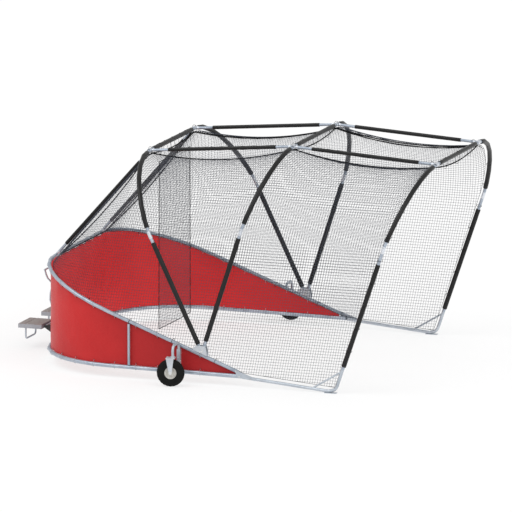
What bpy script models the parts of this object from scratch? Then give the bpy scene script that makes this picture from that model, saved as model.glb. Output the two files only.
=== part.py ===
"""A roll-away batting cage: three padded arches over a wheeled base, with nets, a low skirt and two fold-out seats.

Metres, +Z up. The mouth opens towards +X, the curved back is at -X, and left is +Y.
The origin is on the ground under the middle of the cage, which is symmetric about the XZ plane.
"""

import math

import bmesh
import bpy
from mathutils import Vector

SIDES = {"left": 1, "right": -1}
GAP = 0.0005  # between pieces that touch

# Base: two parallel sides joined by a round-cornered back.
SIDE_Y = 2.28
BACK_X = -2.62
CORNER_RADIUS = 1.30
CORNER_X = BACK_X + CORNER_RADIUS
CORNER_Y = 0.98
GUSSET_X = 0.754
TOE_X = 2.182
BASE_RAIL_R = 0.030
BASE_RAIL_Z = 0.150  # at the gusset
BASE_RAIL_RISE = -0.012  # height gained per metre of X
TOP_RAIL_R = 0.027
TOP_RAIL_Z = 0.190
TOP_RAIL_RISE = -0.380
RAIL_WALL = 0.002

# Arches: each lies in one plane, from its feet up to its crossbar.
LEG_R = 0.024
LEG_WALL = 0.003
ROOF_Y = 0.958
JOINT_GAP = 0.005
BOW_DROP = 1.10  # from the crossbar down to the joint with the leg, along the arch's plane
FOOT_X, FOOT_Z = 0.14, 0.46
ARCHES = {
    "rear": ((FOOT_X, FOOT_Z), (-1.140, 3.133)),
    "middle": ((FOOT_X, FOOT_Z), (1.075, 3.321)),
    "front": ((TOE_X, 0.030), (3.264, 3.189)),
}
LEG_START = {"rear": 0.085, "middle": 0.085, "front": 0.345}
BOW_STRAIGHT = 0.040  # the bow leaves its joint in line with the leg
BAR_R = 0.021
PAD_LEG_R = 0.035
PAD_BAR_R = 0.028
PAD_BORE = 0.0015  # a pad's bore is this much wider than its tube
PAD_REACH = 0.55  # how far a leg's pad covers the last stretch before the roof bar's corner
PAD_LOW = {"rear": 0.135, "middle": 0.185, "front": 0.390}

# Wheels: each hangs from an inverted-U arm that slides in an upright sleeve.
SLEEVE_X = -0.195
SLEEVE_Y = 2.3365
SLEEVE_HALF = 0.026
ARM_R = 0.020
ARM_TOP_Z = 0.600
ARM_BEND = 0.075
CASTER_Y = 2.600
CASTER_TURN = math.radians(12)
TRAIL = 0.030
WHEEL_R = 0.2032
TYRE_HALF = 0.048
HUB_R = 0.088
AXLE_R = 0.010

# Seats: each folds up about a hinge behind the skirt.
SEAT_Y = 0.480
SEAT_HALF = 0.240
SEAT_TOP = 0.365
SEAT_DEPTH = 0.060
SEAT_FRONT_X = -2.930
SEAT_END_X = -3.2973
HINGE_X, HINGE_Z = -2.905, 0.335
HINGE_R = 0.010
FOOT_LOOP_X = -3.190
FOOT_LOOP_Z = 0.140
ROD_R = 0.013

# Nets and skirt.
NET_HALF = 0.001
NET_EDGE_Y = 0.930
NET_INSET = 0.065
NET_DROP = 0.075  # the upper edge hangs this far below the arches' corners
NET_SAG = (0.0, 0.18, 0.18)  # and sags by this in each bay
NET_STATIONS = (
    -2.545, -2.46, -2.32, -2.12, -1.86, -1.52, -1.14, -0.60, -0.0325, 0.50, 1.075, 1.60, 2.1695, 2.50,
    2.80, 3.00, 3.12, 3.18,
)
SKIRT_INSET = 0.018
SKIRT_HALF = 0.001
DROP_HALF_Y = 0.660
DROP_LOW, DROP_HIGH = 0.420, 2.910


def material(name, colour, roughness, metallic=0.0):
    made = bpy.data.materials.new(name)
    made.use_nodes = True
    shader = made.node_tree.nodes["Principled BSDF"]
    shader.inputs["Base Color"].default_value = (*colour, 1.0)
    shader.inputs["Roughness"].default_value = roughness
    shader.inputs["Metallic"].default_value = metallic
    return made


def add(name, shape, finish, parent=None, smooth=False):
    """Turn a bmesh into a named object, with its faces pointing out."""
    bmesh.ops.recalc_face_normals(shape, faces=shape.faces)
    mesh = bpy.data.meshes.new(name)
    shape.to_mesh(mesh)
    shape.free()
    if smooth:
        mesh.shade_smooth()
        mesh.set_sharp_from_angle(angle=math.radians(40))
    mesh.materials.append(finish)
    made = bpy.data.objects.new(name, mesh)
    bpy.context.scene.collection.objects.link(made)
    made.parent = parent
    return made


def pivot(name, place, turn=0.0, parent=None):
    """An empty on a joint's axis, which carries the pieces that move about it."""
    made = bpy.data.objects.new(name, None)
    made.location = place
    made.rotation_euler.z = turn
    made.parent = parent
    bpy.context.scene.collection.objects.link(made)
    return made


def boolean(target, helper, operation):
    helper.hide_render = True
    helper.display_type = "WIRE"
    modifier = target.modifiers.new(operation.title() + " " + helper.name, "BOOLEAN")
    modifier.operation = operation
    modifier.object = helper


def ring(shape, centre, across, up, radius, sides, stretch):
    points = []
    for k in range(sides):
        turn = math.tau * (k + 0.5) / sides
        offset = up * math.cos(turn) + across * (math.sin(turn) * stretch)
        points.append(shape.verts.new(centre + offset * radius))
    return points


def bridge(shape, one, other):
    count = len(one)
    for k in range(count):
        shape.faces.new((one[k], one[(k + 1) % count], other[(k + 1) % count], other[k]))


def sweep(shape, path, up, radius, bore=None, sides=10):
    """Sweep a round section along a path that lies in the plane with normal up; with a bore it is an open tube."""
    up = Vector(up).normalized()
    path = [Vector(point) for point in path]
    legs = [(b - a).normalized() for a, b in zip(path, path[1:])]
    outer, inner = [], []
    for k, centre in enumerate(path):
        before, after = legs[max(k - 1, 0)], legs[min(k, len(legs) - 1)]
        along = (before + after).normalized()
        across = up.cross(along).normalized()
        stretch = 1 / along.dot(after)
        outer.append(ring(shape, centre, across, up, radius, sides, stretch))
        if bore:
            inner.append(ring(shape, centre, across, up, bore, sides, stretch))
    for rings in (outer, inner):
        for one, other in zip(rings, rings[1:]):
            bridge(shape, one, other)
    for end in (0, -1):
        if bore:
            bridge(shape, outer[end], inner[end])
        else:
            shape.faces.new(outer[end])


def tube(name, path, up, radius, bore, finish, parent=None, sides=10):
    shape = bmesh.new()
    sweep(shape, path, up, radius, bore, sides)
    return add(name, shape, finish, parent, smooth=True)


def prism(shape, outline, depth):
    """Extrude a closed outline of 3-D points by the vector depth."""
    depth = Vector(depth)
    low = [shape.verts.new(Vector(point)) for point in outline]
    high = [shape.verts.new(Vector(point) + depth) for point in outline]
    shape.faces.new(low)
    shape.faces.new(high)
    bridge(shape, low, high)


def block(shape, low, high):
    (x0, y0, z0), (x1, y1, z1) = low, high
    prism(shape, [(x0, y0, z0), (x1, y0, z0), (x1, y1, z0), (x0, y1, z0)], (0, 0, z1 - z0))


def sheet(name, rows, thickness, finish):
    """Close a grid of points into a thin solid, thickened to both sides along its surface normals."""
    count, width = len(rows), len(rows[0])

    def normal(i, j):
        along = rows[min(i + 1, count - 1)][j] - rows[max(i - 1, 0)][j]
        across = rows[i][min(j + 1, width - 1)] - rows[i][max(j - 1, 0)]
        return along.cross(across).normalized()

    shape = bmesh.new()
    faces = []
    for side in (thickness, -thickness):
        faces.append(
            [[shape.verts.new(rows[i][j] + normal(i, j) * side) for j in range(width)] for i in range(count)]
        )
    for grid in faces:
        for i in range(count - 1):
            for j in range(width - 1):
                shape.faces.new((grid[i][j], grid[i + 1][j], grid[i + 1][j + 1], grid[i][j + 1]))
    rims = []
    for grid in faces:
        start = [grid[0][j] for j in range(width)]
        far = [grid[i][-1] for i in range(1, count)]
        end = [grid[-1][j] for j in range(width - 2, -1, -1)]
        near = [grid[i][0] for i in range(count - 2, 0, -1)]
        rims.append(start + far + end + near)
    bridge(shape, *rims)
    return add(name, shape, finish, smooth=True)


def turned(name, profile, finish, parent, steps=28):
    """Turn a closed outline of (radius, y) points about the Y axis."""
    shape = bmesh.new()
    rings = []
    for radius, y in profile:
        angles = [math.tau * k / steps for k in range(steps)]
        rings.append([shape.verts.new((radius * math.cos(a), y, radius * math.sin(a))) for a in angles])
    for one, other in zip(rings, rings[1:] + rings[:1]):
        bridge(shape, one, other)
    return add(name, shape, finish, parent, smooth=True)


def rise(x, z, slope):
    return z + slope * (x - GUSSET_X)


def base_rail_z(x):
    return rise(x, BASE_RAIL_Z, BASE_RAIL_RISE)


def top_rail_z(x):
    return rise(x, TOP_RAIL_Z, TOP_RAIL_RISE)


def horseshoe(inset, front_x, height, steps=8, straight=1):
    """The plan of the base, from the front of the left side round the back to the front of the right side."""
    radius = CORNER_RADIUS - inset
    half = []
    for k in range(straight):
        x = front_x + (CORNER_X - front_x) * k / straight
        half.append((x, SIDE_Y - inset))
    for k in range(steps + 1):
        turn = math.radians(90 + 90 * k / steps)
        half.append((CORNER_X + radius * math.cos(turn), CORNER_Y + radius * math.sin(turn)))
    plan = half + [(x, -y) for x, y in reversed(half)]
    return [Vector((x, y, height(x))) for x, y in plan]


class Arch:
    """One arch in its own plane: y across it, and s along it, 0 at the crossbar and negative below."""

    def __init__(self, name):
        (foot_x, foot_z), (top_x, top_z) = ARCHES[name]
        foot = Vector((foot_x, 0, foot_z))
        self.top = Vector((top_x, 0, top_z))
        self.along = (self.top - foot).normalized()
        self.length = (self.top - foot).length
        self.normal = self.along.cross(Vector((0, 1, 0)))

    def point(self, y, s):
        return self.top + self.along * s + Vector((0, y, 0))

    def shoulder(self, t):
        """A cubic curve from just above the leg joint at t = 0 to the roof bar's corner at t = 1."""
        controls = ((SIDE_Y, BOW_STRAIGHT - BOW_DROP), (2.20, -0.65), (1.70, 0.0), (ROOF_Y, 0.0))
        weights = ((1 - t) ** 3, 3 * t * (1 - t) ** 2, 3 * t * t * (1 - t), t**3)
        y = sum(w * c[0] for w, c in zip(weights, controls))
        s = sum(w * c[1] for w, c in zip(weights, controls))
        return y, s


def tilted_normal(slope):
    return (-slope, 0, 1)


def skirt_and_rails(metal, cloth):
    plan = horseshoe(0, GUSSET_X + 0.02, base_rail_z)
    bore = BASE_RAIL_R - RAIL_WALL
    tube("base_rail", plan, tilted_normal(BASE_RAIL_RISE), BASE_RAIL_R, bore, metal)
    plan = horseshoe(0, GUSSET_X - 0.065, top_rail_z)
    bore = TOP_RAIL_R - RAIL_WALL
    tube("skirt_top_rail", plan, tilted_normal(TOP_RAIL_RISE), TOP_RAIL_R, bore, metal)

    clear = 0.003
    rows = []
    for point in horseshoe(SKIRT_INSET, GUSSET_X - 0.085, base_rail_z, steps=12, straight=4):
        low = point.z + BASE_RAIL_R + clear
        high = top_rail_z(point.x) - TOP_RAIL_R * 1.08 - clear
        rows.append([Vector((point.x, point.y, low)), Vector((point.x, point.y, high))])
    sheet("skirt", rows, SKIRT_HALF, cloth)

    post_x, post_y, post_r = -0.985, SIDE_Y + 0.010, 0.020
    for side, sign in SIDES.items():
        low = base_rail_z(post_x) + BASE_RAIL_R + clear
        high = top_rail_z(post_x) - TOP_RAIL_R - post_r * abs(TOP_RAIL_RISE) - clear
        path = [(post_x, sign * post_y, low), (post_x, sign * post_y, high)]
        tube(f"skirt_post_{side}", path, (1, 0, 0), post_r, post_r - RAIL_WALL, metal)


def skid(side, sign, metal):
    """The front rail with its rounded toe, corner brace, gusset plate and the flat foot under the toe."""
    arch = Arch("front")
    y = sign * SIDE_Y
    toe_z = LEG_R + 0.002
    bend = 0.10
    start = Vector((GUSSET_X + 0.035, y, BASE_RAIL_Z - 0.012))
    low = Vector((TOE_X - bend, y, toe_z))
    rail = (low - start).normalized()
    corner = Vector((TOE_X, y, toe_z))
    up = Vector(arch.along)
    path = [start, low]
    for k in range(1, 6):
        t = k / 6
        one, other = corner - rail * bend * (1 - t), corner + up * bend * t
        path.append(one.lerp(other, t))
    foot = arch.point(y, -arch.length)
    path += [corner + up * bend, foot + up * (LEG_START["front"] - GAP)]
    shape = bmesh.new()
    sweep(shape, path, (0, 1, 0), LEG_R, LEG_R - LEG_WALL)
    made = add(f"front_skid_{side}", shape, metal, smooth=True)

    shape = bmesh.new()
    brace_foot = start.lerp(low, 0.80)
    brace_head = foot + up * 0.315
    sweep(shape, [brace_foot, brace_head], (0, 1, 0), 0.013, sides=10)
    boolean(made, add(f"brace_{side}", shape, metal), "UNION")

    shape = bmesh.new()
    block(shape, (TOE_X - 0.16, y - 0.035, 0), (TOE_X + 0.02, y + 0.035, 0.008))
    boolean(made, add(f"toe_plate_{side}", shape, metal), "UNION")

    shape = bmesh.new()
    outer = sign * (SIDE_Y + BASE_RAIL_R + GAP)
    outline = [
        (GUSSET_X - 0.105, TOP_RAIL_Z + 0.062),
        (GUSSET_X - 0.055, BASE_RAIL_Z - 0.018),
        (GUSSET_X + 0.22, BASE_RAIL_Z - 0.045),
        (GUSSET_X + 0.22, BASE_RAIL_Z - 0.010),
        (GUSSET_X + 0.02, TOP_RAIL_Z + 0.020),
    ]
    prism(shape, [(x, outer, z) for x, z in outline], (0, sign * 0.008, 0))
    reach = BASE_RAIL_R - LEG_R + 0.010
    inner = sorted((sign * (SIDE_Y + LEG_R - 0.004), sign * (SIDE_Y + LEG_R + reach)))
    low_z, high_z = BASE_RAIL_Z - 0.030, BASE_RAIL_Z - 0.005
    shape_web = bmesh.new()
    block(shape_web, (GUSSET_X + 0.07, inner[0], low_z), (GUSSET_X + 0.20, inner[1], high_z))
    boolean(made, add(f"gusset_web_{side}", shape_web, metal), "UNION")
    boolean(made, add(f"gusset_{side}", shape, metal), "UNION")


def leg_bracket(side, sign, metal):
    """Two cheeks on a saddle over the skirt's top rail, which hold the feet of the rear and middle arches."""
    half, slot = 0.042, 0.0275
    y = sign * SIDE_Y
    foot = (FOOT_X, FOOT_Z)
    rail = TOP_RAIL_R * 1.08 + GAP

    def above_rail(x, lift):
        return top_rail_z(x) + rail + lift

    back, front = foot[0] - 0.125, foot[0] + 0.085
    shape = bmesh.new()
    outline = [
        (back, above_rail(back, 0)),
        (front, above_rail(front, 0)),
        (front, above_rail(front, 0.045)),
        (foot[0] + 0.062, foot[1] + 0.105),
        (foot[0] - 0.078, foot[1] + 0.105),
        (back, above_rail(back, 0.030)),
    ]
    prism(shape, [(x, y - half, z) for x, z in outline], (0, 2 * half, 0))
    made = add(f"leg_bracket_{side}", shape, metal)
    shape = bmesh.new()
    lift, top = 0.012, foot[1] + 0.2
    outline = [
        (back - 0.02, above_rail(back - 0.02, lift)),
        (front + 0.02, above_rail(front + 0.02, lift)),
        (front + 0.02, top),
        (back - 0.02, top),
    ]
    prism(shape, [(x, y - slot, z) for x, z in outline], (0, 2 * slot, 0))
    boolean(made, add(f"leg_bracket_slot_{side}", shape, metal), "DIFFERENCE")


def arch(name, metal, foam):
    plan = Arch(name)
    steps = 7
    half = [(SIDE_Y, -BOW_DROP)] + [plan.shoulder(k / steps) for k in range(steps + 1)]
    bow = [plan.point(y, s) for y, s in half] + [plan.point(-y, s) for y, s in reversed(half)]
    tube(f"{name}_bow", bow, plan.normal, LEG_R, LEG_R - LEG_WALL, metal)
    pad_bore = LEG_R + PAD_BORE
    for side, sign in SIDES.items():
        y = sign * SIDE_Y
        low = plan.point(y, LEG_START[name] - plan.length)
        path = [low, plan.point(y, -BOW_DROP - JOINT_GAP)]
        tube(f"{name}_leg_{side}", path, plan.normal, LEG_R, LEG_R - LEG_WALL, metal)
        path = [plan.point(y, PAD_LOW[name] - plan.length)]
        path += [plan.point(sign * a, s) for a, s in half[1:-1]]
        (y0, s0), (y1, s1) = half[-2:]
        path.append(plan.point(sign * (y0 + (y1 - y0) * PAD_REACH), s0 + (s1 - s0) * PAD_REACH))
        tube(f"{name}_leg_pad_{side}", path, plan.normal, PAD_LEG_R, pad_bore, foam)
    reach = ROOF_Y - 0.13
    path = [plan.point(reach, 0), plan.point(-reach, 0)]
    tube(f"{name}_crossbar_pad", path, plan.normal, 0.032, pad_bore, foam)


def padded_bar(name, start, end, ends, metal, foam):
    """A straight tube between two others, with a pad that leaves bare metal of the given length at each end."""
    start, end = Vector(start), Vector(end)
    along = (end - start).normalized()
    up = along.cross(Vector((0, 1, 0)))
    tube(name, [start, end], up, BAR_R, BAR_R - LEG_WALL, metal)
    path = [start + along * ends[0], end - along * ends[1]]
    tube(f"{name}_pad", path, up, PAD_BAR_R, BAR_R + PAD_BORE, foam)


def roof_bars(metal, foam):
    clear = LEG_R / math.cos(math.pi / 10) + 0.001
    tops = {name: Arch(name).top for name in ARCHES}
    for side, sign in SIDES.items():
        across = Vector((0, sign * ROOF_Y, 0))
        for name, rear, front in (("rear", "rear", "middle"), ("front", "middle", "front")):
            start, end = tops[rear] + across, tops[front] + across
            trim = (end - start).normalized() * clear
            padded_bar(f"{name}_roof_bar_{side}", start + trim, end - trim, (0.26, 0.24), metal, foam)
        low = Vector((BACK_X, sign * (ROOF_Y - 0.02), top_rail_z(BACK_X)))
        high = tops["rear"] + Vector((0, sign * (ROOF_Y - 0.02), 0))
        along = (high - low).normalized()
        start = low + along * (TOP_RAIL_R / math.cos(math.pi / 10) + 0.001)
        end = high - along * (clear + 0.002)
        padded_bar(f"back_brace_{side}", start, end, (0.22, 0.22), metal, foam)


def edge_sag(t, depth):
    """How far a net hangs below the line between its two ends: two straight runs that meet in the middle."""
    return depth * (1 - abs(2 * t - 1))


def net_corners():
    """Where a side net's upper edge is held: at the back rail, then under each arch's corner."""
    back = Vector((BACK_X + 0.08, NET_EDGE_Y, top_rail_z(BACK_X) + 0.020))
    return [back] + [Arch(name).top + Vector((0, NET_EDGE_Y, -NET_DROP)) for name in ARCHES]


def net_top(x):
    """Height of a side net's upper edge, which sags between its corners."""
    corners = net_corners()
    bay = max(k for k in range(3) if k == 0 or x >= corners[k].x)
    one, other = corners[bay], corners[bay + 1]
    t = (x - one.x) / (other.x - one.x)
    return one.lerp(other, t).z - edge_sag(t, NET_SAG[bay])


def inside_bow(s):
    """Half-width of the net just inside an arch's shoulder, at s along the arch."""
    plan = Arch("front")
    curve = [Vector(plan.shoulder(k / 40)) for k in range(41)]
    inner = []
    for one, other in zip(curve, curve[1:]):
        run = (other - one).normalized()
        inner.append(one.lerp(other, 0.5) + Vector((-run.y, run.x)) * NET_INSET)
    for one, other in zip(inner, inner[1:]):
        if one.y <= s <= other.y:
            return one.x + (other.x - one.x) * (s - one.y) / (other.y - one.y)
    return SIDE_Y - NET_INSET


def net_low(x):
    """The lower edge of a side net: along the skirt's top rail, the front rail, then up inside the front arch."""
    side = SIDE_Y - NET_INSET
    toe_x, toe_z = TOE_X - 0.035, LEG_R + 0.075
    if x < GUSSET_X:
        radius = CORNER_RADIUS - NET_INSET
        y = CORNER_Y + math.sqrt(radius**2 - (x - CORNER_X) ** 2) if x < CORNER_X else side
        return y, top_rail_z(x)
    if x < toe_x:
        return side, TOP_RAIL_Z + (toe_z - TOP_RAIL_Z) * (x - GUSSET_X) / (toe_x - GUSSET_X)
    plan = Arch("front")
    behind = plan.top.x + (toe_z - plan.top.z) * plan.along.x / plan.along.z - toe_x
    s = (x + behind - plan.top.x) / plan.along.x
    return inside_bow(s), plan.top.z + plan.along.z * s


def widening(drop):
    """How far an arch has widened from its crossbar, in metres, at this drop below it."""
    before = None
    for k in range(41):
        y, s = Arch("front").shoulder(1 - k / 40)
        if -s >= drop and before:
            return before[0] + (y - before[0]) * (drop + before[1]) / (before[1] - s) - ROOF_Y
        before = (y, s)
    return SIDE_Y - ROOF_Y


def side_net_row(x, sign, down):
    """One cross-section of a side net: from its upper edge out over the shoulder and down, as the arches do."""
    top = net_top(x)
    y_low, z_low = net_low(x)
    height = top - z_low
    row = []
    for k in range(down + 1):
        drop = height * (k / down) ** 1.6
        y = NET_EDGE_Y + (y_low - NET_EDGE_Y) * widening(drop) / widening(height)
        row.append(Vector((x, sign * y, top - drop)))
    return row


def nets(cord):
    for side, sign in SIDES.items():
        rows = [side_net_row(x, sign, 8) for x in NET_STATIONS]
        sheet(f"side_net_{side}", rows, NET_HALF, cord)

    edge = NET_EDGE_Y - 0.02
    tops = [Arch(name).top - Vector((0, 0, NET_DROP)) for name in ARCHES]
    rows = []
    for t in (0, 0.5, 1, 1.5, 2):
        bay = min(int(t), 1)
        centre = tops[bay].lerp(tops[bay + 1], t - bay) - Vector((0, 0, edge_sag(t - bay, NET_SAG[1])))
        rows.append([centre + Vector((0, side * edge, 0)) for side in (-1, 1)])
    sheet("roof_net", rows, NET_HALF, cord)

    low = Vector((BACK_X + 0.085, 0, top_rail_z(BACK_X) + 0.03))
    high = tops[0] + Vector((-0.035, 0, -0.005))
    rows = []
    for t in (0, 0.5, 1):
        centre = low.lerp(high, t) + Vector((0.5, 0, -0.4)) * edge_sag(t, 0.10)
        rows.append([centre + Vector((0, side * edge, 0)) for side in (-1, 1)])
    sheet("back_net", rows, NET_HALF, cord)

    shape = bmesh.new()
    x = Arch("rear").top.x + 0.035
    block(shape, (x - NET_HALF, -DROP_HALF_Y, DROP_LOW), (x + NET_HALF, DROP_HALF_Y, DROP_HIGH))
    add("drop_net", shape, cord)


def wheel_unit(side, sign, metal, fork_metal, hub_metal, rubber):
    low, high = BASE_RAIL_Z - 0.02, top_rail_z(SLEEVE_X) - 0.045
    wall = 0.004
    shape = bmesh.new()
    outer, inner = SLEEVE_HALF, SLEEVE_HALF - wall
    rings = []
    for half, z in ((outer, low), (outer, high), (inner, high), (inner, low)):
        corners = [(-half, -half), (half, -half), (half, half), (-half, half)]
        place = (SLEEVE_X, sign * SLEEVE_Y)
        rings.append([shape.verts.new((place[0] + x, place[1] + y, z)) for x, y in corners])
    for one, other in zip(rings, rings[1:] + rings[:1]):
        bridge(shape, one, other)
    add(f"wheel_sleeve_{side}", shape, metal)

    slide = pivot(f"wheel_lift_{side}", (SLEEVE_X, sign * SLEEVE_Y, high))
    bottom, foot = low + 0.10, 0.452
    path = [Vector((0, 0, bottom))]
    span = CASTER_Y - SLEEVE_Y
    bend_z = ARM_TOP_Z - ARM_BEND
    for centre, first in ((ARM_BEND, 180), (span - ARM_BEND, 90)):
        for k in range(5):
            turn = math.radians(first - 22.5 * k)
            y, z = centre + ARM_BEND * math.cos(turn), bend_z + ARM_BEND * math.sin(turn)
            path.append(Vector((0, sign * y, z)))
    path.append(Vector((0, sign * span, foot)))
    path = [point - Vector((0, 0, high)) for point in path]
    tube(f"wheel_arm_{side}", path, (1, 0, 0), ARM_R, ARM_R - LEG_WALL, metal, slide)

    swivel = pivot(f"caster_swivel_{side}", (0, sign * span, -high), -sign * CASTER_TURN, slide)
    plate_z = 0.416
    cheek, thick = TYRE_HALF + 0.008, 0.007
    shape = bmesh.new()
    block(shape, (-TRAIL - 0.068, -cheek - thick, plate_z), (-TRAIL + 0.068, cheek + thick, plate_z + 0.010))
    made = add(f"caster_fork_{side}", shape, fork_metal, swivel)
    for end, y in (("inner", -cheek - thick), ("outer", cheek)):
        outline = [(-TRAIL - 0.064, plate_z + 0.004), (-TRAIL + 0.050, plate_z + 0.004)]
        for k in range(7):
            turn = math.radians(20 - 220 * k / 6)
            outline.append((-TRAIL + 0.024 * math.cos(turn), WHEEL_R + 0.024 * math.sin(turn)))
        shape = bmesh.new()
        prism(shape, [(x, y, z) for x, z in outline], (0, thick, 0))
        boolean(made, add(f"fork_cheek_{end}_{side}", shape, fork_metal, swivel), "UNION")
    shape = bmesh.new()
    sweep(shape, [(0, 0, plate_z + 0.005), (0, 0, 0.449)], (1, 0, 0), 0.030, sides=16)
    boolean(made, add(f"swivel_race_{side}", shape, fork_metal, swivel), "UNION")
    shape = bmesh.new()
    sweep(shape, [(0, 0, 0.440), (0, 0, 0.510)], (1, 0, 0), 0.013, sides=12)
    boolean(made, add(f"swivel_stem_{side}", shape, fork_metal, swivel), "UNION")
    shape = bmesh.new()
    reach = cheek + thick + 0.012
    sweep(shape, [(-TRAIL, -reach, WHEEL_R), (-TRAIL, reach, WHEEL_R)], (1, 0, 0), AXLE_R, sides=12)
    boolean(made, add(f"axle_{side}", shape, fork_metal, swivel), "UNION")

    spin = pivot(f"wheel_spin_{side}", (-TRAIL, 0, WHEEL_R), parent=swivel)
    bore = AXLE_R + 0.001
    half = TYRE_HALF
    hub = [
        (bore, -half + 0.004), (0.026, -half + 0.004), (0.030, -half + 0.022), (HUB_R - 0.016, -half + 0.020),
        (HUB_R, -half + 0.010), (HUB_R, half - 0.010), (HUB_R - 0.016, half - 0.020), (0.030, half - 0.022),
        (0.026, half - 0.004), (bore, half - 0.004),
    ]
    turned(f"wheel_hub_{side}", hub, hub_metal, spin)
    seat = HUB_R + GAP
    tyre = [(seat, -half + 0.010), (seat + 0.014, -half + 0.003)]
    for k in range(7):
        turn = math.radians(-90 + 30 * k)
        radius = WHEEL_R - 0.052 + 0.052 * math.cos(turn) ** 0.8
        tyre.append((radius, half * math.sin(turn)))
    tyre += [(seat + 0.014, half - 0.003), (seat, half - 0.010)]
    turned(f"tyre_{side}", tyre, rubber, spin)


def seat_frame(side, sign, black, metal):
    """The black hinge bracket on the base rail, with its arms, hinge pin and bent-rod back rest."""
    face_x = BACK_X - BASE_RAIL_R - GAP
    inner, outer = SEAT_Y - SEAT_HALF - 0.018, SEAT_Y + SEAT_HALF + 0.018
    shape = bmesh.new()
    y0, y1 = sorted((sign * (inner + 0.03), sign * (outer - 0.03)))
    block(shape, (face_x - 0.006, y0, 0.120), (face_x, y1, 0.405))
    made = add(f"seat_bracket_{side}", shape, black)
    arm = 0.008
    for end, y in (("inner", inner + 0.10), ("outer", outer - 0.10)):
        outline = [
            (face_x - 0.004, 0.385), (face_x - 0.004, 0.150), (HINGE_X - 0.014, HINGE_Z - 0.014),
            (HINGE_X - 0.014, HINGE_Z + 0.014),
        ]
        shape = bmesh.new()
        prism(shape, [(x, sign * y - arm / 2, z) for x, z in outline], (0, arm, 0))
        boolean(made, add(f"seat_arm_{end}_{side}", shape, black), "UNION")
    pin = (inner + 0.09, outer - 0.09)
    shape = bmesh.new()
    sweep(shape, [(HINGE_X, sign * y, HINGE_Z) for y in pin], (1, 0, 0), HINGE_R, sides=12)
    boolean(made, add(f"seat_pin_{side}", shape, black), "UNION")

    # The back rest: one rod, up one side, across the top and down the other.
    wave = [(-2.700, 0.300), (-2.752, 0.430), (-2.757, 0.560), (-2.760, 0.680), (-2.785, 0.760),
            (-2.782, 0.850), (-2.758, 0.945), (-2.762, 1.020), (-2.822, 1.080), (-2.850, 1.140),
            (-2.866, 1.205)]
    rise_up = [Vector((x, sign * outer, z)) for x, z in wave]
    across = Vector((0, sign * (inner - outer), 0))
    overhang = Vector((0, sign * 0.020, 0))
    bars = [rise_up, [point + across for point in rise_up]]
    bars += [[end + overhang, end + across - overhang] for end in (rise_up[0], rise_up[-1])]
    for k, path in enumerate(bars):
        shape = bmesh.new()
        rod(shape, path)
        boolean(made, add(f"seat_back_{k}_{side}", shape, metal, smooth=True), "UNION")


def rod(shape, path):
    """A solid round rod along a path that lies in an XZ plane or along Y."""
    straight_y = abs((path[-1] - path[0]).normalized().y) > 0.9
    sweep(shape, path, (0, 0, 1) if straight_y else (0, 1, 0), ROD_R, sides=8)


def seat(side, sign, metal, board):
    hinge = pivot(f"seat_fold_{side}", (HINGE_X, sign * SEAT_Y, HINGE_Z))
    wall = 0.003
    top, low = SEAT_TOP - HINGE_Z, SEAT_TOP - SEAT_DEPTH - HINGE_Z
    front, end = SEAT_FRONT_X - HINGE_X, SEAT_END_X - HINGE_X
    shape = bmesh.new()
    block(shape, (end, -SEAT_HALF, low), (front, SEAT_HALF, top))
    made = add(f"seat_deck_{side}", shape, board, hinge)
    shape = bmesh.new()
    block(
        shape,
        (end + wall, -SEAT_HALF + wall, low - 0.01),
        (front - wall, SEAT_HALF - wall, top - wall),
    )
    boolean(made, add(f"seat_hollow_{side}", shape, board, hinge), "DIFFERENCE")
    barrel_half = 0.10
    shape = bmesh.new()
    for y in (-barrel_half, barrel_half):
        block(shape, (front - 0.001, y - 0.008, -0.012), (-HINGE_R - 0.003, y + 0.008, 0.012))
    links = add(f"seat_links_{side}", shape, metal, hinge)
    boolean(made, links, "UNION")
    shape = bmesh.new()
    sweep(
        shape,
        [(0, -barrel_half - 0.02, 0), (0, barrel_half + 0.02, 0)],
        (1, 0, 0),
        HINGE_R + 0.006,
        HINGE_R + 0.0012,
        sides=12,
    )
    boolean(made, add(f"seat_barrel_{side}", shape, metal, hinge), "UNION")

    fold = pivot(f"foot_fold_{side}", (FOOT_LOOP_X - HINGE_X, 0, 0), parent=hinge)
    drop = FOOT_LOOP_Z - HINGE_Z
    half, bend = 0.205, 0.045
    path = [Vector((0, -SEAT_HALF + wall + GAP, 0)), Vector((0, -half - 0.010, 0)), Vector((0, -half, -0.010))]
    for centre, first in ((-half + bend, 180), (half - bend, 270)):
        for k in range(4):
            turn = math.radians(first + 30 * k)
            path.append(Vector((0, centre + bend * math.cos(turn), drop + bend + bend * math.sin(turn))))
    path += [Vector((0, -p.y, p.z)) for p in path[2::-1]]
    shape = bmesh.new()
    sweep(shape, path, (1, 0, 0), ROD_R, sides=8)
    add(f"foot_loop_{side}", shape, metal, fold, smooth=True)


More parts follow.
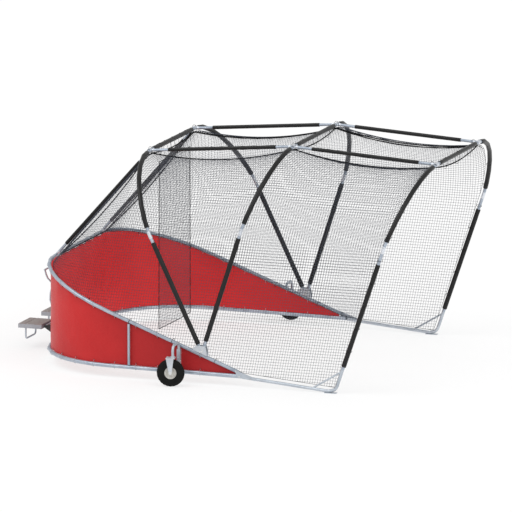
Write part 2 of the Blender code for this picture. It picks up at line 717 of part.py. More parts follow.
def build():
    for made in list(bpy.data.objects):
        bpy.data.objects.remove(made)
    silver = material("silver_tube", (0.56, 0.60, 0.63), 0.35, 0.9)
    steel = material("steel_tube", (0.54, 0.58, 0.61), 0.35, 0.9)
    plate = material("plate_metal", (0.50, 0.53, 0.56), 0.45, 0.8)
    hub = material("hub_metal", (0.62, 0.61, 0.58), 0.5, 0.5)
    black = material("black_bracket", (0.02, 0.02, 0.02), 0.5)
    foam = material("pad_foam", (0.02, 0.02, 0.022), 0.45)
    rubber = material("tyre_rubber", (0.012, 0.012, 0.012), 0.7)
    cord = material("net_cord", (0.02, 0.02, 0.02), 0.8)
    cloth = material("skirt_vinyl", (0.60, 0.035, 0.045), 0.6)
    board = material("seat_board", (0.30, 0.29, 0.29), 0.6, 0.3)

    skirt_and_rails(silver, cloth)
    for name in ARCHES:
        arch(name, silver, foam)
    roof_bars(silver, foam)
    nets(cord)
    for side, sign in SIDES.items():
        skid(side, sign, steel)
        leg_bracket(side, sign, plate)
        wheel_unit(side, sign, steel, plate, hub, rubber)
        seat_frame(side, sign, black, silver)
        seat(side, sign, steel, board)


build()
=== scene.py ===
"""The visual model of the roll-away batting cage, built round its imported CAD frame.

Metres, +Z up. The mouth opens towards +X, the curved back is at -X, and left is +Y.
"""

import math

import bmesh
import bpy
import numpy as np
from mathutils import Matrix, Vector


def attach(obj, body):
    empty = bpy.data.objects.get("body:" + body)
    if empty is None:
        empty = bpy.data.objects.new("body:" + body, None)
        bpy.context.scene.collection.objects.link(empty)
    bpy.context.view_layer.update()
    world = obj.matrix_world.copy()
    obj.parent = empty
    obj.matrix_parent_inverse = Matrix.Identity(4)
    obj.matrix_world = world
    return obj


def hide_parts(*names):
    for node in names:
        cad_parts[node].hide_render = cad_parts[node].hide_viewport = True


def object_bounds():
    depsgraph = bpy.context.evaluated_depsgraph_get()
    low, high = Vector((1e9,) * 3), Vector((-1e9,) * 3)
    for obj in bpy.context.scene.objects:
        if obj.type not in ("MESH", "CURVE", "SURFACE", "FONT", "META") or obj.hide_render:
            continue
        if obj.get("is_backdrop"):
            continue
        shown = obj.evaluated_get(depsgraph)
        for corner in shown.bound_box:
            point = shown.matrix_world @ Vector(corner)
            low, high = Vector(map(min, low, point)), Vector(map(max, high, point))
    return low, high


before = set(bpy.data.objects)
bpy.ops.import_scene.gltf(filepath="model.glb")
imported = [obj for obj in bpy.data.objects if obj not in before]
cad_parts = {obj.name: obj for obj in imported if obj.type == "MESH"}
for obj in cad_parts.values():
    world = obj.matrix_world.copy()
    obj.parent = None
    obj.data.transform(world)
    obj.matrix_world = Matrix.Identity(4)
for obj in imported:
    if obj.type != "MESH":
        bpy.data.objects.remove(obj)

cad_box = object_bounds()
SIDES = {"left": 1, "right": -1}
X_AXIS = Vector((1, 0, 0))
Y_AXIS = Vector((0, 1, 0))
Z_AXIS = Vector((0, 0, 1))

# The cage's own sizes, as the CAD model has them.
SIDE_Y = 2.28
BACK_X = -2.62
CORNER_RADIUS = 1.30
CORNER_X = BACK_X + CORNER_RADIUS
CORNER_Y = 0.98
GUSSET_X = 0.754
BACK_REST_Z = 0.41  # above the seat bracket's plate there is only its rod
TOE_X = 2.182
BASE_RAIL_R, BASE_RAIL_Z, BASE_RAIL_RISE = 0.030, 0.150, -0.012
TOP_RAIL_R, TOP_RAIL_Z, TOP_RAIL_RISE = 0.027, 0.190, -0.380
LEG_R = 0.024
TUBE_FLATS = math.cos(math.pi / 10)  # inner over outer radius of a ten-sided CAD tube
ROOF_Y = 0.958
BOW_DROP = 1.10
BOW_STRAIGHT = 0.040
COUPLING_PLAY = 0.0006  # between a coupling's bore and its tube
FOOT = (0.14, 0.46)
ARCHES = {
    "rear": (FOOT, (-1.140, 3.133)),
    "middle": (FOOT, (1.075, 3.321)),
    "front": ((TOE_X, 0.030), (3.264, 3.189)),
}
BAR_R = 0.021
PAD_LEG_R = 0.035
PAD_CROSSBAR_R, CROSSBAR_PAD_Y = 0.032, ROOF_Y - 0.13
PAD_BAR_R = 0.028
PAD_BORE = 0.0015
PAD_WAVE, PAD_SLIT = 0.0005, 5  # unevenness of a pad's skin, and which of its 24 lines is slit
PAD_LOW = {"rear": 0.135, "middle": 0.185, "front": 0.390}
PAD_REACH = 0.55
SLEEVE_X, SLEEVE_Y = -0.195, 2.3365
CASTER_Y, CASTER_TURN, TRAIL = 2.600, math.radians(12), 0.030
WHEEL_R, TYRE_HALF, HUB_R, AXLE_R = 0.2032, 0.048, 0.088, 0.010
FORK_CHEEK_Y, FORK_TOP_Z = TYRE_HALF + 0.0155, 0.426
SEAT_Y, SEAT_HALF, SEAT_TOP = 0.480, 0.240, 0.365
SEAT_FRONT_X, SEAT_END_X, FOOT_LOOP_X = -2.930, -3.2973, -3.190
NET_EDGE_Y, NET_INSET, NET_DROP = 0.930, 0.055, 0.045
NET_SAG = (0.0, 0.125, 0.105)
ROOF_NET_SAG = 0.07
NET_BACK_X, NET_FRONT_X = -2.545, 3.215
NET_TOE_X, NET_TOE_Z = TOE_X - 0.025, LEG_R + 0.050
SKIRT_INSET = 0.018
SKIRT_END_X = GUSSET_X - 0.085
DROP_HALF_Y, DROP_LOW, DROP_HIGH = 0.660, 0.420, 2.910

# What only the visual model has.
# The bare stretch of each leg between its two pads, as distances below the crossbar.
BARE = {"rear": (0.99, 1.22), "middle": (0.98, 1.20), "front": (0.98, 1.33)}
TWINE_R = 0.0023
FINE_TWINE_R = 0.0006  # the roof and back nets are of a finer, paler twine
DROP_TWINE_R = 0.0016
KNOT_R = 0.0030
ROPE_R = 0.0090
DROP_ROPE_R = 0.0055
EDGE_CORD_R = 0.0030
TIE_R, TIE_SPARE, TIE_HALF_WIDTH = 0.003, 0.034, 0.034
MESH_ALONG, MESH_DOWN = 0.038, 0.042  # the netting's mesh as it hangs
MESH_LEAN = 0.203  # forward lean of the upright strands, per metre of height


def top_rail_z(x):
    return TOP_RAIL_Z + TOP_RAIL_RISE * (x - GUSSET_X)


def base_rail_z(x):
    return BASE_RAIL_Z + BASE_RAIL_RISE * (x - GUSSET_X)


class Arch:
    """One arch in its own plane: y across it, and s up it, 0 at the crossbar and negative below."""

    def __init__(self, name):
        (foot_x, foot_z), (top_x, top_z) = ARCHES[name]
        foot = Vector((foot_x, 0, foot_z))
        self.top = Vector((top_x, 0, top_z))
        self.along = (self.top - foot).normalized()
        self.length = (self.top - foot).length
        self.normal = self.along.cross(Y_AXIS)

    def point(self, y, s):
        return self.top + self.along * s + Vector((0, y, 0))


def shoulder(t):
    """(y, s) of an arch's curved corner, from the leg joint at t = 0 to the crossbar at t = 1."""
    start, end = (SIDE_Y, BOW_STRAIGHT - BOW_DROP), (ROOF_Y, 0.0)
    controls = (start, (2.20, -0.65), (1.70, 0.0), end)
    weights = ((1 - t) ** 3, 3 * t * (1 - t) ** 2, 3 * t * t * (1 - t), t**3)
    return tuple(sum(w * c[k] for w, c in zip(weights, controls)) for k in (0, 1))


ARCH = {name: Arch(name) for name in ARCHES}
SHOULDER = np.array([shoulder(k / 7) for k in range(8)])


# ---------------------------------------------------------------- meshes


def placed(name, data):
    """A new object in the scene with this data."""
    made = bpy.data.objects.new(name, data)
    bpy.context.collection.objects.link(made)
    return made


def capped(faces, count, sides):
    """A tube's faces with its two ends closed: count points in all, `sides` to a ring."""
    return [*faces, tuple(reversed(range(sides))), tuple(range(count - sides, count))]


class Mesh:
    """Points and faces of several shapes, for one piece. mirror is -1 to turn each over in Y."""

    def __init__(self, mirror=1):
        self.points, self.faces, self.kinds = [], [], []
        self.count, self.mirror = 0, mirror

    def add(self, points, faces, kind=0):
        """kind is which of the piece's finishes these faces wear."""
        self.points.append(np.asarray(points, float).reshape(-1, 3) * (1, self.mirror, 1))
        for face in faces:
            self.faces.append(tuple(self.count + k for k in face))
            self.kinds.append(kind)
        self.count += len(self.points[-1])
        return self

    def piece(self, name, finishes, body, slot, sharp=38, move=None):
        """The finished object, riding on a body. sharp is the least angle that shows as an edge."""
        data = bpy.data.meshes.new(name)
        data.from_pydata(np.concatenate(self.points).tolist(), [], self.faces)
        for finish in finishes if isinstance(finishes, tuple) else (finishes,):
            data.materials.append(finish)
        data.polygons.foreach_set("material_index", self.kinds)
        shape = bmesh.new()
        shape.from_mesh(data)
        bmesh.ops.recalc_face_normals(shape, faces=shape.faces)
        shape.to_mesh(data)
        shape.free()
        if move is not None:
            data.transform(move)
        data.validate()
        data.shade_smooth()
        data.set_sharp_from_angle(angle=math.radians(sharp))
        made = placed(name, data)
        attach(made, body)
        return made


def lattice(rows, columns):
    """Quads between rows of points, each `columns` long, with a row's end joined to its start."""
    faces = []
    for one in range(0, (rows - 1) * columns, columns):
        for c in range(columns):
            d, other = (c + 1) % columns, one + columns
            faces.append((one + c, one + d, other + d, other + c))
    return faces


def looped(rows, columns):
    """The quads of a lattice whose last row is joined to its first."""
    used = rows * columns
    return [tuple(k % used for k in face) for face in lattice(rows + 1, columns)]


def ring_axes(path, up):
    """Two unit vectors across the path at each of its points."""
    path = np.asarray(path, float)
    run = np.gradient(path, axis=0)
    run /= np.linalg.norm(run, axis=1)[:, None]
    across = np.cross(run, np.asarray(up, float))
    across /= np.linalg.norm(across, axis=1)[:, None]
    return path, across, np.cross(across, run)


def tube(path, radius, up, sides=3):
    """A closed round rod along a path. radius is one number, or one for each point."""
    path, across, over = ring_axes(path, up)
    radius = np.broadcast_to(radius, len(path))[:, None, None]
    turn = (2 * math.pi * (np.arange(sides) + 0.5) / sides)[None, :, None]
    rings = across[:, None] * np.cos(turn) + over[:, None] * np.sin(turn)
    points = (path[:, None] + rings * radius).reshape(-1, 3)
    return points, capped(lattice(len(path), sides), len(points), sides)


def sleeve(path, outer, bore, up, rounding=0.006, wave=None, seam=None, sides=24):
    """A round-ended hollow tube. wave makes its skin uneven, and seam is where a slit runs."""
    axes = ring_axes(path, up)
    turn = 2 * math.pi * np.arange(sides) / sides
    steps = np.linalg.norm(np.diff(axes[0], axis=0), axis=1)
    length = np.concatenate([[0], np.cumsum(steps)])
    total, margin = length[-1], rounding * 1.5
    ends = []
    for a in (0, 0.5, 1.0, math.pi / 2):
        ends.append((rounding * (1 - math.cos(a)), rounding * (1 - math.sin(a))))
    stations = [(at, outer - cut) for at, cut in ends]
    stations += [(at, outer) for at in length if margin < at < total - margin]
    stations += [(total - at, outer - cut) for at, cut in reversed(ends)]
    stations += [(at, bore) for at in reversed(length)]
    rings = []
    for at, radius in stations:
        centre, one, other = (
            np.array([np.interp(at, length, axis[:, k]) for k in range(3)]) for axis in axes
        )
        radii = np.full(sides, radius)
        if radius > bore:
            if wave:
                radii += wave * np.sin(at * 23.0) * np.sin(2 * turn + at * 5.0)
            if seam is not None:
                radii[seam] -= (radius - bore) * 0.45
        ring = np.cos(turn)[:, None] * one + np.sin(turn)[:, None] * other
        rings.append(centre + radii[:, None] * ring)
    return np.concatenate(rings), looped(len(rings), sides)


def turned(profile, steps):
    """A profile of (radius, offset) points, a closed loop, turned about the local Y axis."""
    turn = 2 * math.pi * np.arange(steps) / steps
    points = [[(r * math.cos(a), y, r * math.sin(a)) for r, y in profile] for a in turn]
    return np.array(points).reshape(-1, 3), looped(steps, len(profile))


def bolt(place, axis, radius, height=0.006):
    """A domed hexagon bolt head on a washer, standing on a surface."""
    axis = Vector(axis).normalized()
    up = Z_AXIS if abs(axis.z) < 0.9 else Y_AXIS
    place = Vector(place)
    mesh = Mesh()
    washer = [place, place + axis * 0.0008, place + axis * 0.0015]
    mesh.add(*tube(washer, [radius * 1.5, radius * 1.55, radius * 1.45], up, 20))
    head = [place + axis * (0.0012 + height * k) for k in (0, 0.75, 1.0)]
    mesh.add(*tube(head, [radius, radius, radius * 0.72], up, 6))
    return np.concatenate(mesh.points), mesh.faces


# ---------------------------------------------------------------- materials


WORN_POINTINESS = (0.53, 0.62)


class Finish:
    """A node material built up step by step. Constants go on the shader's own sockets."""

    def __init__(self, name, **sockets):
        self.material = bpy.data.materials.new(name)
        self.material.use_nodes = True
        self.nodes = self.material.node_tree.nodes
        self.links = self.material.node_tree.links
        self.shader = self.nodes["Principled BSDF"]
        for socket, value in sockets.items():
            self.shader.inputs[socket.replace("_", " ")].default_value = value
        self.place = self.node("ShaderNodeTexCoord").outputs["Object"]

    def node(self, kind, inputs=None, **settings):
        made = self.nodes.new(kind)
        for key, value in settings.items():
            setattr(made, key, value)
        for key, value in (inputs or {}).items():
            if isinstance(value, bpy.types.NodeSocket):
                self.links.new(value, made.inputs[key])
            else:
                made.inputs[key].default_value = value
        return made

    def stretched(self, scale):
        inputs = {"Vector": self.place, "Scale": scale}
        return self.node("ShaderNodeMapping", inputs).outputs["Vector"]

    def noise(self, scale, detail=4.0, rough=0.55, stretch=None):
        place = self.stretched(stretch) if stretch else self.place
        inputs = {"Vector": place, "Scale": scale, "Detail": detail, "Roughness": rough}
        return self.node("ShaderNodeTexNoise", inputs).outputs["Fac"]

    def cells(self, scale, output="Distance"):
        inputs = {"Vector": self.place, "Scale": scale}
        return self.node("ShaderNodeTexVoronoi", inputs).outputs[output]

    def wave(self, place, scale, distortion, direction):
        inputs = {"Vector": place, "Scale": scale, "Distortion": distortion}
        return self.node("ShaderNodeTexWave", inputs, bands_direction=direction).outputs["Fac"]

    def ramp(self, value, low, high):
        """low and high are each (place on the ramp, colour)."""
        made = self.node("ShaderNodeValToRGB", {"Fac": value})
        for element, (at, colour) in zip(made.color_ramp.elements, (low, high)):
            element.position = at
            element.color = (*colour, 1.0)
        return made.outputs["Color"]

    def math(self, operation, one, other):
        return self.node("ShaderNodeMath", {0: one, 1: other}, operation=operation).outputs[0]

    def between(self, value, low, high, start=0.0, end=1.0):
        """value, taken from its range of start to end to one of low to high."""
        inputs = {"Value": value, "To Min": low, "To Max": high}
        inputs |= {"From Min": start, "From Max": end}
        return self.node("ShaderNodeMapRange", inputs).outputs["Result"]

    def mix(self, factor, one, other):
        """Inputs go by number, because a Mix node has several of each name."""
        colours = [(*c, 1.0) if isinstance(c, tuple) else c for c in (one, other)]
        inputs = {0: factor, 6: colours[0], 7: colours[1]}
        return self.node("ShaderNodeMix", inputs, data_type="RGBA").outputs[2]

    def over(self, tone, mask, low, high, colour):
        """A tone with a colour laid over it, from low to high as the mask goes from 0 to 1."""
        return self.mix(self.between(mask, low, high), tone, colour)

    def worn(self, tone, amount, colour):
        """A tone rubbed to another colour along its convex edges."""
        point = self.node("ShaderNodeNewGeometry").outputs["Pointiness"]
        edges = self.between(point, 0.0, 1.0, *WORN_POINTINESS)
        return self.mix(self.math("MULTIPLY", edges, amount), tone, colour)

    def set(self, socket, value):
        self.links.new(value, self.shader.inputs[socket])
        return self

    def bump(self, *layers):
        """Each layer is (height, distance in metres, strength)."""
        normal = None
        for height, distance, strength in layers:
            inputs = {"Height": height, "Distance": distance, "Strength": strength}
            if normal is not None:
                inputs["Normal"] = normal
            normal = self.node("ShaderNodeBump", inputs).outputs["Normal"]
        return self.set("Normal", normal)


def tube_metal(name, dark, light, roughness, spangle=0.0):
    """Drawn or galvanised metal: faint streaks, smudges, and a zinc spangle where asked for."""
    made = Finish(name, Metallic=0.60, Specular_IOR_Level=0.5)
    smudge = made.noise(7.0, 5.0, 0.6)
    streak = made.noise(60.0, 3.0, 0.5, stretch=(0.12, 0.12, 0.12))
    tone = made.ramp(smudge, (0.32, dark), (0.68, light))
    tone = made.over(tone, streak, 0.0, 0.35, tuple(c * 0.82 for c in light))
    height = fine = made.noise(420.0, 2.0, 0.6)
    if spangle:
        cells = {"Color": made.cells(160.0, "Color")}
        flakes = made.node("ShaderNodeRGBToBW", cells).outputs["Val"]
        bright = tuple(min(c * 1.18, 1.0) for c in light)
        tone = made.over(tone, flakes, 0.0, spangle, bright)
        height = made.math("ADD", fine, flakes)
    made.set("Base Color", tone)
    polish = made.between(smudge, roughness - 0.07, roughness)
    made.set("Roughness", made.math("ADD", polish, made.between(fine, 0.0, 0.12)))
    made.bump((height, 0.0004, 0.25), (made.noise(18.0, 2.0), 0.0015, 0.10))
    return made.material


def coating(name, mottle, low, high, wear, roughness, skin, **sockets):
    """Paint or rubber: mottled between two tones, rubbed along its edges, with a fine skin.

    mottle and skin start with their noise's scale, detail and roughness.
    """
    made = Finish(name, **sockets)
    cloud = made.noise(*mottle)
    made.set("Base Color", made.worn(made.ramp(cloud, low, high), *wear))
    made.set("Roughness", made.between(cloud, *roughness))
    made.bump((made.noise(*skin[:3]), *skin[3:]))
    return made.material


def foam():
    """Closed-cell tube foam: near black, fine-pored, with a thin smooth skin and grey dust."""
    sockets = {"Specular_IOR_Level": 0.14, "Coat_Weight": 0.30, "Coat_Roughness": 0.16}
    made = Finish("closed_cell_foam", **sockets)
    pores = made.cells(900.0)
    dust = made.noise(9.0, 6.0, 0.65)
    scuff = made.noise(55.0, 4.0, 0.7)
    tone = made.ramp(dust, (0.30, (0.004, 0.004, 0.004)), (0.72, (0.009, 0.009, 0.0095)))
    tone = made.over(tone, scuff, 0.0, 0.45, (0.014, 0.014, 0.0145))
    made.set("Base Color", tone).set("Roughness", made.between(scuff, 0.38, 0.60))
    made.bump((pores, 0.0005, 0.30), (made.noise(26.0, 3.0), 0.002, 0.18))
    return made.material


def twine(name, dark, light):
    """Twisted, tarred netting twine."""
    made = Finish(name, Specular_IOR_Level=0.15)
    lay = made.wave(made.stretched((1.0, 1.0, 0.8)), 210.0, 2.5, "DIAGONAL")
    fuzz = made.noise(45.0, 4.0, 0.6)
    tone = made.over(dark, lay, 0.0, 0.5, light)
    tone = made.over(tone, fuzz, 0.0, 0.4, tuple(c * 0.5 for c in dark))
    made.set("Base Color", tone).set("Roughness", made.between(fuzz, 0.70, 0.92))
    made.bump((lay, 0.0008, 0.5))
    return made.material


def vinyl(name, red):
    """Coated vinyl: a woven scrim showing through, mottled, and darkened by painted shade towards
    its front tips.
    """
    made = Finish(name, Specular_IOR_Level=0.16)
    cloth = made.node("ShaderNodeUVMap", uv_map="cloth").outputs["UV"]
    weave = made.math("MULTIPLY", *(made.wave(cloth, 95.0, 0.25, way) for way in ("X", "Y")))
    mottle = made.noise(38.0, 6.0, 0.72)
    fade = made.noise(1.6, 4.0, 0.55)
    low, high = (0.42 * red, 0.008, 0.012), (0.55 * red, 0.015, 0.018)
    tone = made.ramp(fade, (0.32, low), (0.70, high))
    tone = made.over(tone, mottle, 0.0, 0.50, (0.62 * red, 0.040, 0.038))
    tone = made.over(tone, weave, 0.0, 0.22, (0.27 * red, 0.006, 0.010))
    tone = made.over(tone, made.cells(150.0), 0.14, 0.0, (0.72 * red, 0.12, 0.10))
    # Painted shade: the red is mixed darker along +X, towards the skirt's front tips, standing in
    # for the weaker light there.
    along = made.node("ShaderNodeSeparateXYZ", {"Vector": made.place}).outputs["X"]
    painted_shade_forward = made.between(along, 0.0, 0.62, -2.2, 0.8)
    made.set("Base Color", made.mix(painted_shade_forward, tone, (0.20 * red, 0.010, 0.014)))
    scuffs, threads = made.between(mottle, 0.30, 0.52), made.between(weave, 0.0, 0.08)
    made.set("Roughness", made.math("ADD", scuffs, threads))
    creases = made.noise(5.5, 5.0, 0.6, stretch=(1.0, 1.0, 0.45))
    made.bump((weave, 0.0006, 0.45), (creases, 0.018, 0.35), (mottle, 0.0015, 0.20))
    return made.material


def seat_top():
    """Non-slip seat board: brown-grey, grained along its width, with paler patches of wear."""
    made = Finish("seat_grip_board", Specular_IOR_Level=0.4)
    grain = made.noise(30.0, 6.0, 0.6, stretch=(6.0, 0.6, 6.0))
    wear = made.noise(8.0, 5.0, 0.6)
    tone = made.ramp(grain, (0.30, (0.17, 0.150, 0.138)), (0.70, (0.30, 0.275, 0.260)))
    tone = made.over(tone, wear, 0.0, 0.5, (0.37, 0.345, 0.325))
    tone = made.worn(tone, 0.4, (0.46, 0.45, 0.44))
    made.set("Base Color", tone).set("Roughness", made.between(grain, 0.52, 0.78))
    made.bump((made.cells(420.0), 0.0007, 0.5), (grain, 0.0008, 0.3))
    return made.material


def hub_paint():
    """Warm light-grey enamel on the wheel's hub, chipped along its edges."""
    made = Finish("hub_enamel", Metallic=0.25, Specular_IOR_Level=0.5)
    smudge = made.noise(30.0, 5.0, 0.6)
    tone = made.ramp(smudge, (0.30, (0.40, 0.385, 0.355)), (0.72, (0.60, 0.585, 0.55)))
    tone = made.worn(tone, 0.6, (0.72, 0.71, 0.69))
    tone = made.over(tone, made.cells(120.0), 0.12, 0.0, (0.20, 0.16, 0.13))
    made.set("Base Color", tone).set("Roughness", made.between(smudge, 0.30, 0.50))
    made.bump((smudge, 0.0006, 0.2))
    return made.material


SILVER = tube_metal("silver_tube_drawn", (0.30, 0.35, 0.42), (0.48, 0.53, 0.60), 0.34)
STEEL = tube_metal("steel_tube_zinc", (0.34, 0.38, 0.43), (0.54, 0.58, 0.63), 0.40, spangle=0.35)
PLATE = tube_metal("plate_zinc", (0.40, 0.43, 0.47), (0.60, 0.63, 0.67), 0.46, spangle=0.55)
FITTING = tube_metal("cast_fitting", (0.55, 0.59, 0.65), (0.76, 0.79, 0.84), 0.36)
EYELET = tube_metal("painted_eyelet", (0.26, 0.020, 0.022), (0.40, 0.035, 0.038), 0.45)
BOLT_STEEL = tube_metal("bolt_zinc", (0.50, 0.50, 0.50), (0.74, 0.74, 0.73), 0.30)
BLACK = coating(
    "black_powder_coat", (24.0, 5.0, 0.65),
    (0.35, (0.012, 0.012, 0.013)), (0.75, (0.042, 0.042, 0.045)),
    (0.5, (0.16, 0.16, 0.17)), (0.38, 0.60), (520.0, 2.0, 0.5, 0.0004, 0.35),
    Metallic=0.0, Specular_IOR_Level=0.45,
)
RUBBER = coating(
    "tyre_rubber_worn", (16.0, 5.0, 0.6),
    (0.34, (0.003, 0.003, 0.003)), (0.74, (0.009, 0.0088, 0.0084)),
    (0.30, (0.040, 0.039, 0.037)), (0.62, 0.84), (330.0, 3.0, 0.6, 0.0006, 0.30),
    Specular_IOR_Level=0.16,
)
SEAT_TRAY = coating(
    "seat_tray_coat", (14.0, 5.0, 0.6),
    (0.32, (0.19, 0.21, 0.25)), (0.70, (0.29, 0.31, 0.35)),
    (0.5, (0.50, 0.51, 0.53)), (0.40, 0.60), (380.0, 2.0, 0.5, 0.0004, 0.3),
    Specular_IOR_Level=0.45, Metallic=0.15,
)
FOAM = foam()
TWINE = twine("net_twine", (0.055, 0.062, 0.080), (0.110, 0.122, 0.150))
FINE_TWINE = twine("fine_net_twine", (0.30, 0.31, 0.34), (0.48, 0.50, 0.53))
ROPE = twine("border_rope", (0.004, 0.004, 0.005), (0.014, 0.014, 0.015))
LACE = twine("lacing_cord", (0.40, 0.43, 0.47), (0.60, 0.63, 0.67))
# The second vinyl is a brighter copy of the first: painted light for the skirt's shaded inner
# faces.
VINYL, VINYL_PAINTED_LIT = vinyl("red_vinyl", 1.0), vinyl("red_vinyl_lining", 1.30)
SEAT_BOARD = seat_top()
HUB_PAINT = hub_paint()
FRAME_FINISHES = (
    (("seat_bracket",), BLACK),
    (("seat_deck",), SEAT_TRAY),
    (("wheel_hub",), HUB_PAINT),
    (("tyre",), RUBBER),
    (("caster_fork", "leg_bracket"), PLATE),
    (("wheel_arm", "wheel_sleeve", "foot_loop", "front_skid"), STEEL),
)


KEYS_PER_METRE = 20000  # places that round to the same step share their shading
SHARP_EDGE = math.radians(41)


def soften(data):
    """Smooth shading over a CAD mesh's small facets, with its real edges kept. No point moves."""
    normals = np.array([face.normal[:] for face in data.polygons])
    areas = np.array([face.area for face in data.polygons])
    around = {}
    places = np.array([vertex.co[:] for vertex in data.vertices])
    keys = [tuple(row) for row in np.round(places * KEYS_PER_METRE).astype(int)]
    for face in data.polygons:
        for vertex in face.vertices:
            around.setdefault(keys[vertex], []).append(face.index)
    shared = {key: np.array(sorted(set(faces))) for key, faces in around.items()}
    least = math.cos(SHARP_EDGE)
    result = np.zeros((len(data.loops), 3))
    for face in data.polygons:
        for loop, vertex in zip(face.loop_indices, face.vertices):
            near = shared[keys[vertex]]
            near = near[normals[near] @ normals[face.index] > least]
            total = (normals[near] * areas[near, None]).sum(0)
            result[loop] = total / max(np.linalg.norm(total), 1e-12)
    data.shade_smooth()
    data.normals_split_custom_set(result.tolist())


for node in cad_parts.values():
    finishes = [finish for starts, finish in FRAME_FINISHES if node.name.startswith(starts)]
    for material_slot in node.material_slots:
        material_slot.material = (finishes + [SILVER])[0]
    if not node.material_slots:
        node.data.materials.append((finishes + [SILVER])[0])
    if node.name.startswith("seat_bracket"):
        # The bent rod of the back rest is bare steel, and the bracket under it is black.
        node.data.materials.append(STEEL)
        for face in node.data.polygons:
            if face.center.z > BACK_REST_Z:
                face.material_index = len(node.data.materials) - 1
    soften(node.data)


# ---------------------------------------------------------------- pads


def pad(name, path, radius, bore, up, replaced=None):
    """A slit length of foam tube on a bar, gently uneven along its length."""
    made = Mesh().add(*sleeve(path, radius, bore, up, wave=PAD_WAVE, seam=PAD_SLIT))
    made = made.piece(name, FOAM, "frame", "pad_foam", sharp=60)
    if replaced:
        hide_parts(replaced)
    return made


PAD_STEP = 0.12


def divided(start, end):
    """Places from start to end, at most a pad's step apart."""
    count = max(2, math.ceil((end - start).length / PAD_STEP))
    return [start.lerp(end, k / count) for k in range(count + 1)]


def leg_route(name, sign):
    """Points down one side of an arch from near its crossbar, each with how far below it is."""
    plan = ARCH[name]
    (y0, s0), (y1, s1) = SHOULDER[-2:]
    start = (y0 + (y1 - y0) * PAD_REACH, s0 + (s1 - s0) * PAD_REACH)
    route = [start, *map(tuple, SHOULDER[-2::-1])]
    last, steps = PAD_LOW[name] - plan.length, 24
    route += [(SIDE_Y, s) for s in np.linspace(SHOULDER[0][1], last, steps + 1)[1:]]
    return [(plan.point(sign * y, s), -s) for y, s in route]


END_ROOM = 0.02  # a route has no other point nearer to its end than this


def cut_route(route, low, high):
    """The part of a route between two distances below the crossbar, with exact ends."""
    depth = [d for _, d in route]

    def at(d):
        return Vector([np.interp(d, depth, [p[k] for p, _ in route]) for k in range(3)])

    inner = [p for p, d in route if low + END_ROOM < d < high - END_ROOM]
    return [at(low)] + inner + [at(high)]


bore = LEG_R + PAD_BORE
for name, plan in ARCH.items():
    for side, sign in SIDES.items():
        route = leg_route(name, sign)
        node = f"{name}_leg_pad_{side}"
        upper = cut_route(route, route[0][1], BARE[name][0])
        lower = cut_route(route, BARE[name][1], route[-1][1])
        pad(f"{node}_upper", upper, PAD_LEG_R, bore, plan.normal, node)
        pad(f"{node}_lower", lower, PAD_LEG_R, bore, plan.normal)
    path = divided(plan.point(CROSSBAR_PAD_Y, 0), plan.point(-CROSSBAR_PAD_Y, 0))
    foam_name, node = f"{name}_crossbar_foam", f"{name}_crossbar_pad"
    pad(foam_name, path, PAD_CROSSBAR_R, bore, plan.normal, node)


def bar_pad(node, start, end, bare):
    """The foam on a roof bar or brace, with a bare length left at each end."""
    along = (end - start).normalized()
    path = divided(start + along * bare[0], end - along * bare[1])
    pad(f"{node}_foam", path, PAD_BAR_R, BAR_R + PAD_BORE, along.cross(Y_AXIS), f"{node}_pad")


clear = LEG_R / TUBE_FLATS + 0.001
bar_spans = {}
for side, sign in SIDES.items():
    for name, rear, front in (("rear", "rear", "middle"), ("front", "middle", "front")):
        start = ARCH[rear].point(sign * ROOF_Y, 0)
        end = ARCH[front].point(sign * ROOF_Y, 0)
        trim = (end - start).normalized() * clear
        bar_spans[f"{name}_roof_bar_{side}"] = (start + trim, end - trim)
        bar_pad(f"{name}_roof_bar_{side}", start + trim, end - trim, (0.26, 0.24))
    brace_y = sign * (ROOF_Y - 0.02)
    low, high = Vector((BACK_X, brace_y, top_rail_z(BACK_X))), ARCH["rear"].point(brace_y, 0)
    along = (high - low).normalized()
    low = low + along * (TOP_RAIL_R / TUBE_FLATS + 0.001)
    high = high - along * (clear + 0.002)
    bar_spans[f"back_brace_{side}"] = (low, high)
    bar_pad(f"back_brace_{side}", low, high, (0.22, 0.22))


# ---------------------------------------------------------------- nets


def plan_length(x):
    """x, but measured along a side net's lower edge, so that its mesh is even at the corner."""
    radius = CORNER_RADIUS - NET_INSET
    turn = np.arcsin(np.clip((CORNER_X - x) / radius, 0, 1))
    return np.where(x < CORNER_X, CORNER_X - radius * turn, x)


def net_top(x):
    back = Vector((BACK_X + 0.08, 0, top_rail_z(BACK_X) + 0.020))
    corners = [back] + [ARCH[name].top - Vector((0, 0, NET_DROP)) for name in ARCHES]
    result = np.zeros_like(x)
    for bay, (one, other) in enumerate(zip(corners, corners[1:])):
        t = (x - one.x) / (other.x - one.x)
        here = one.z + (other.z - one.z) * t - NET_SAG[bay] * 4 * t * (1 - t)
        result = np.where((x >= one.x) | (bay == 0), here, result)
    return result


def inside_bow():
    """(s, y) along the inner side of an arch's shoulder, where a side net's front edge runs."""
    curve = [Vector((*shoulder(k / 40), 0)) for k in range(41)]
    inner = []
    for one, other in zip(curve, curve[1:]):
        run = (other - one).normalized()
        inner.append(one.lerp(other, 0.5) + Vector((-run.y, run.x, 0)) * NET_INSET)
    return np.array([(p.y, p.x) for p in inner])


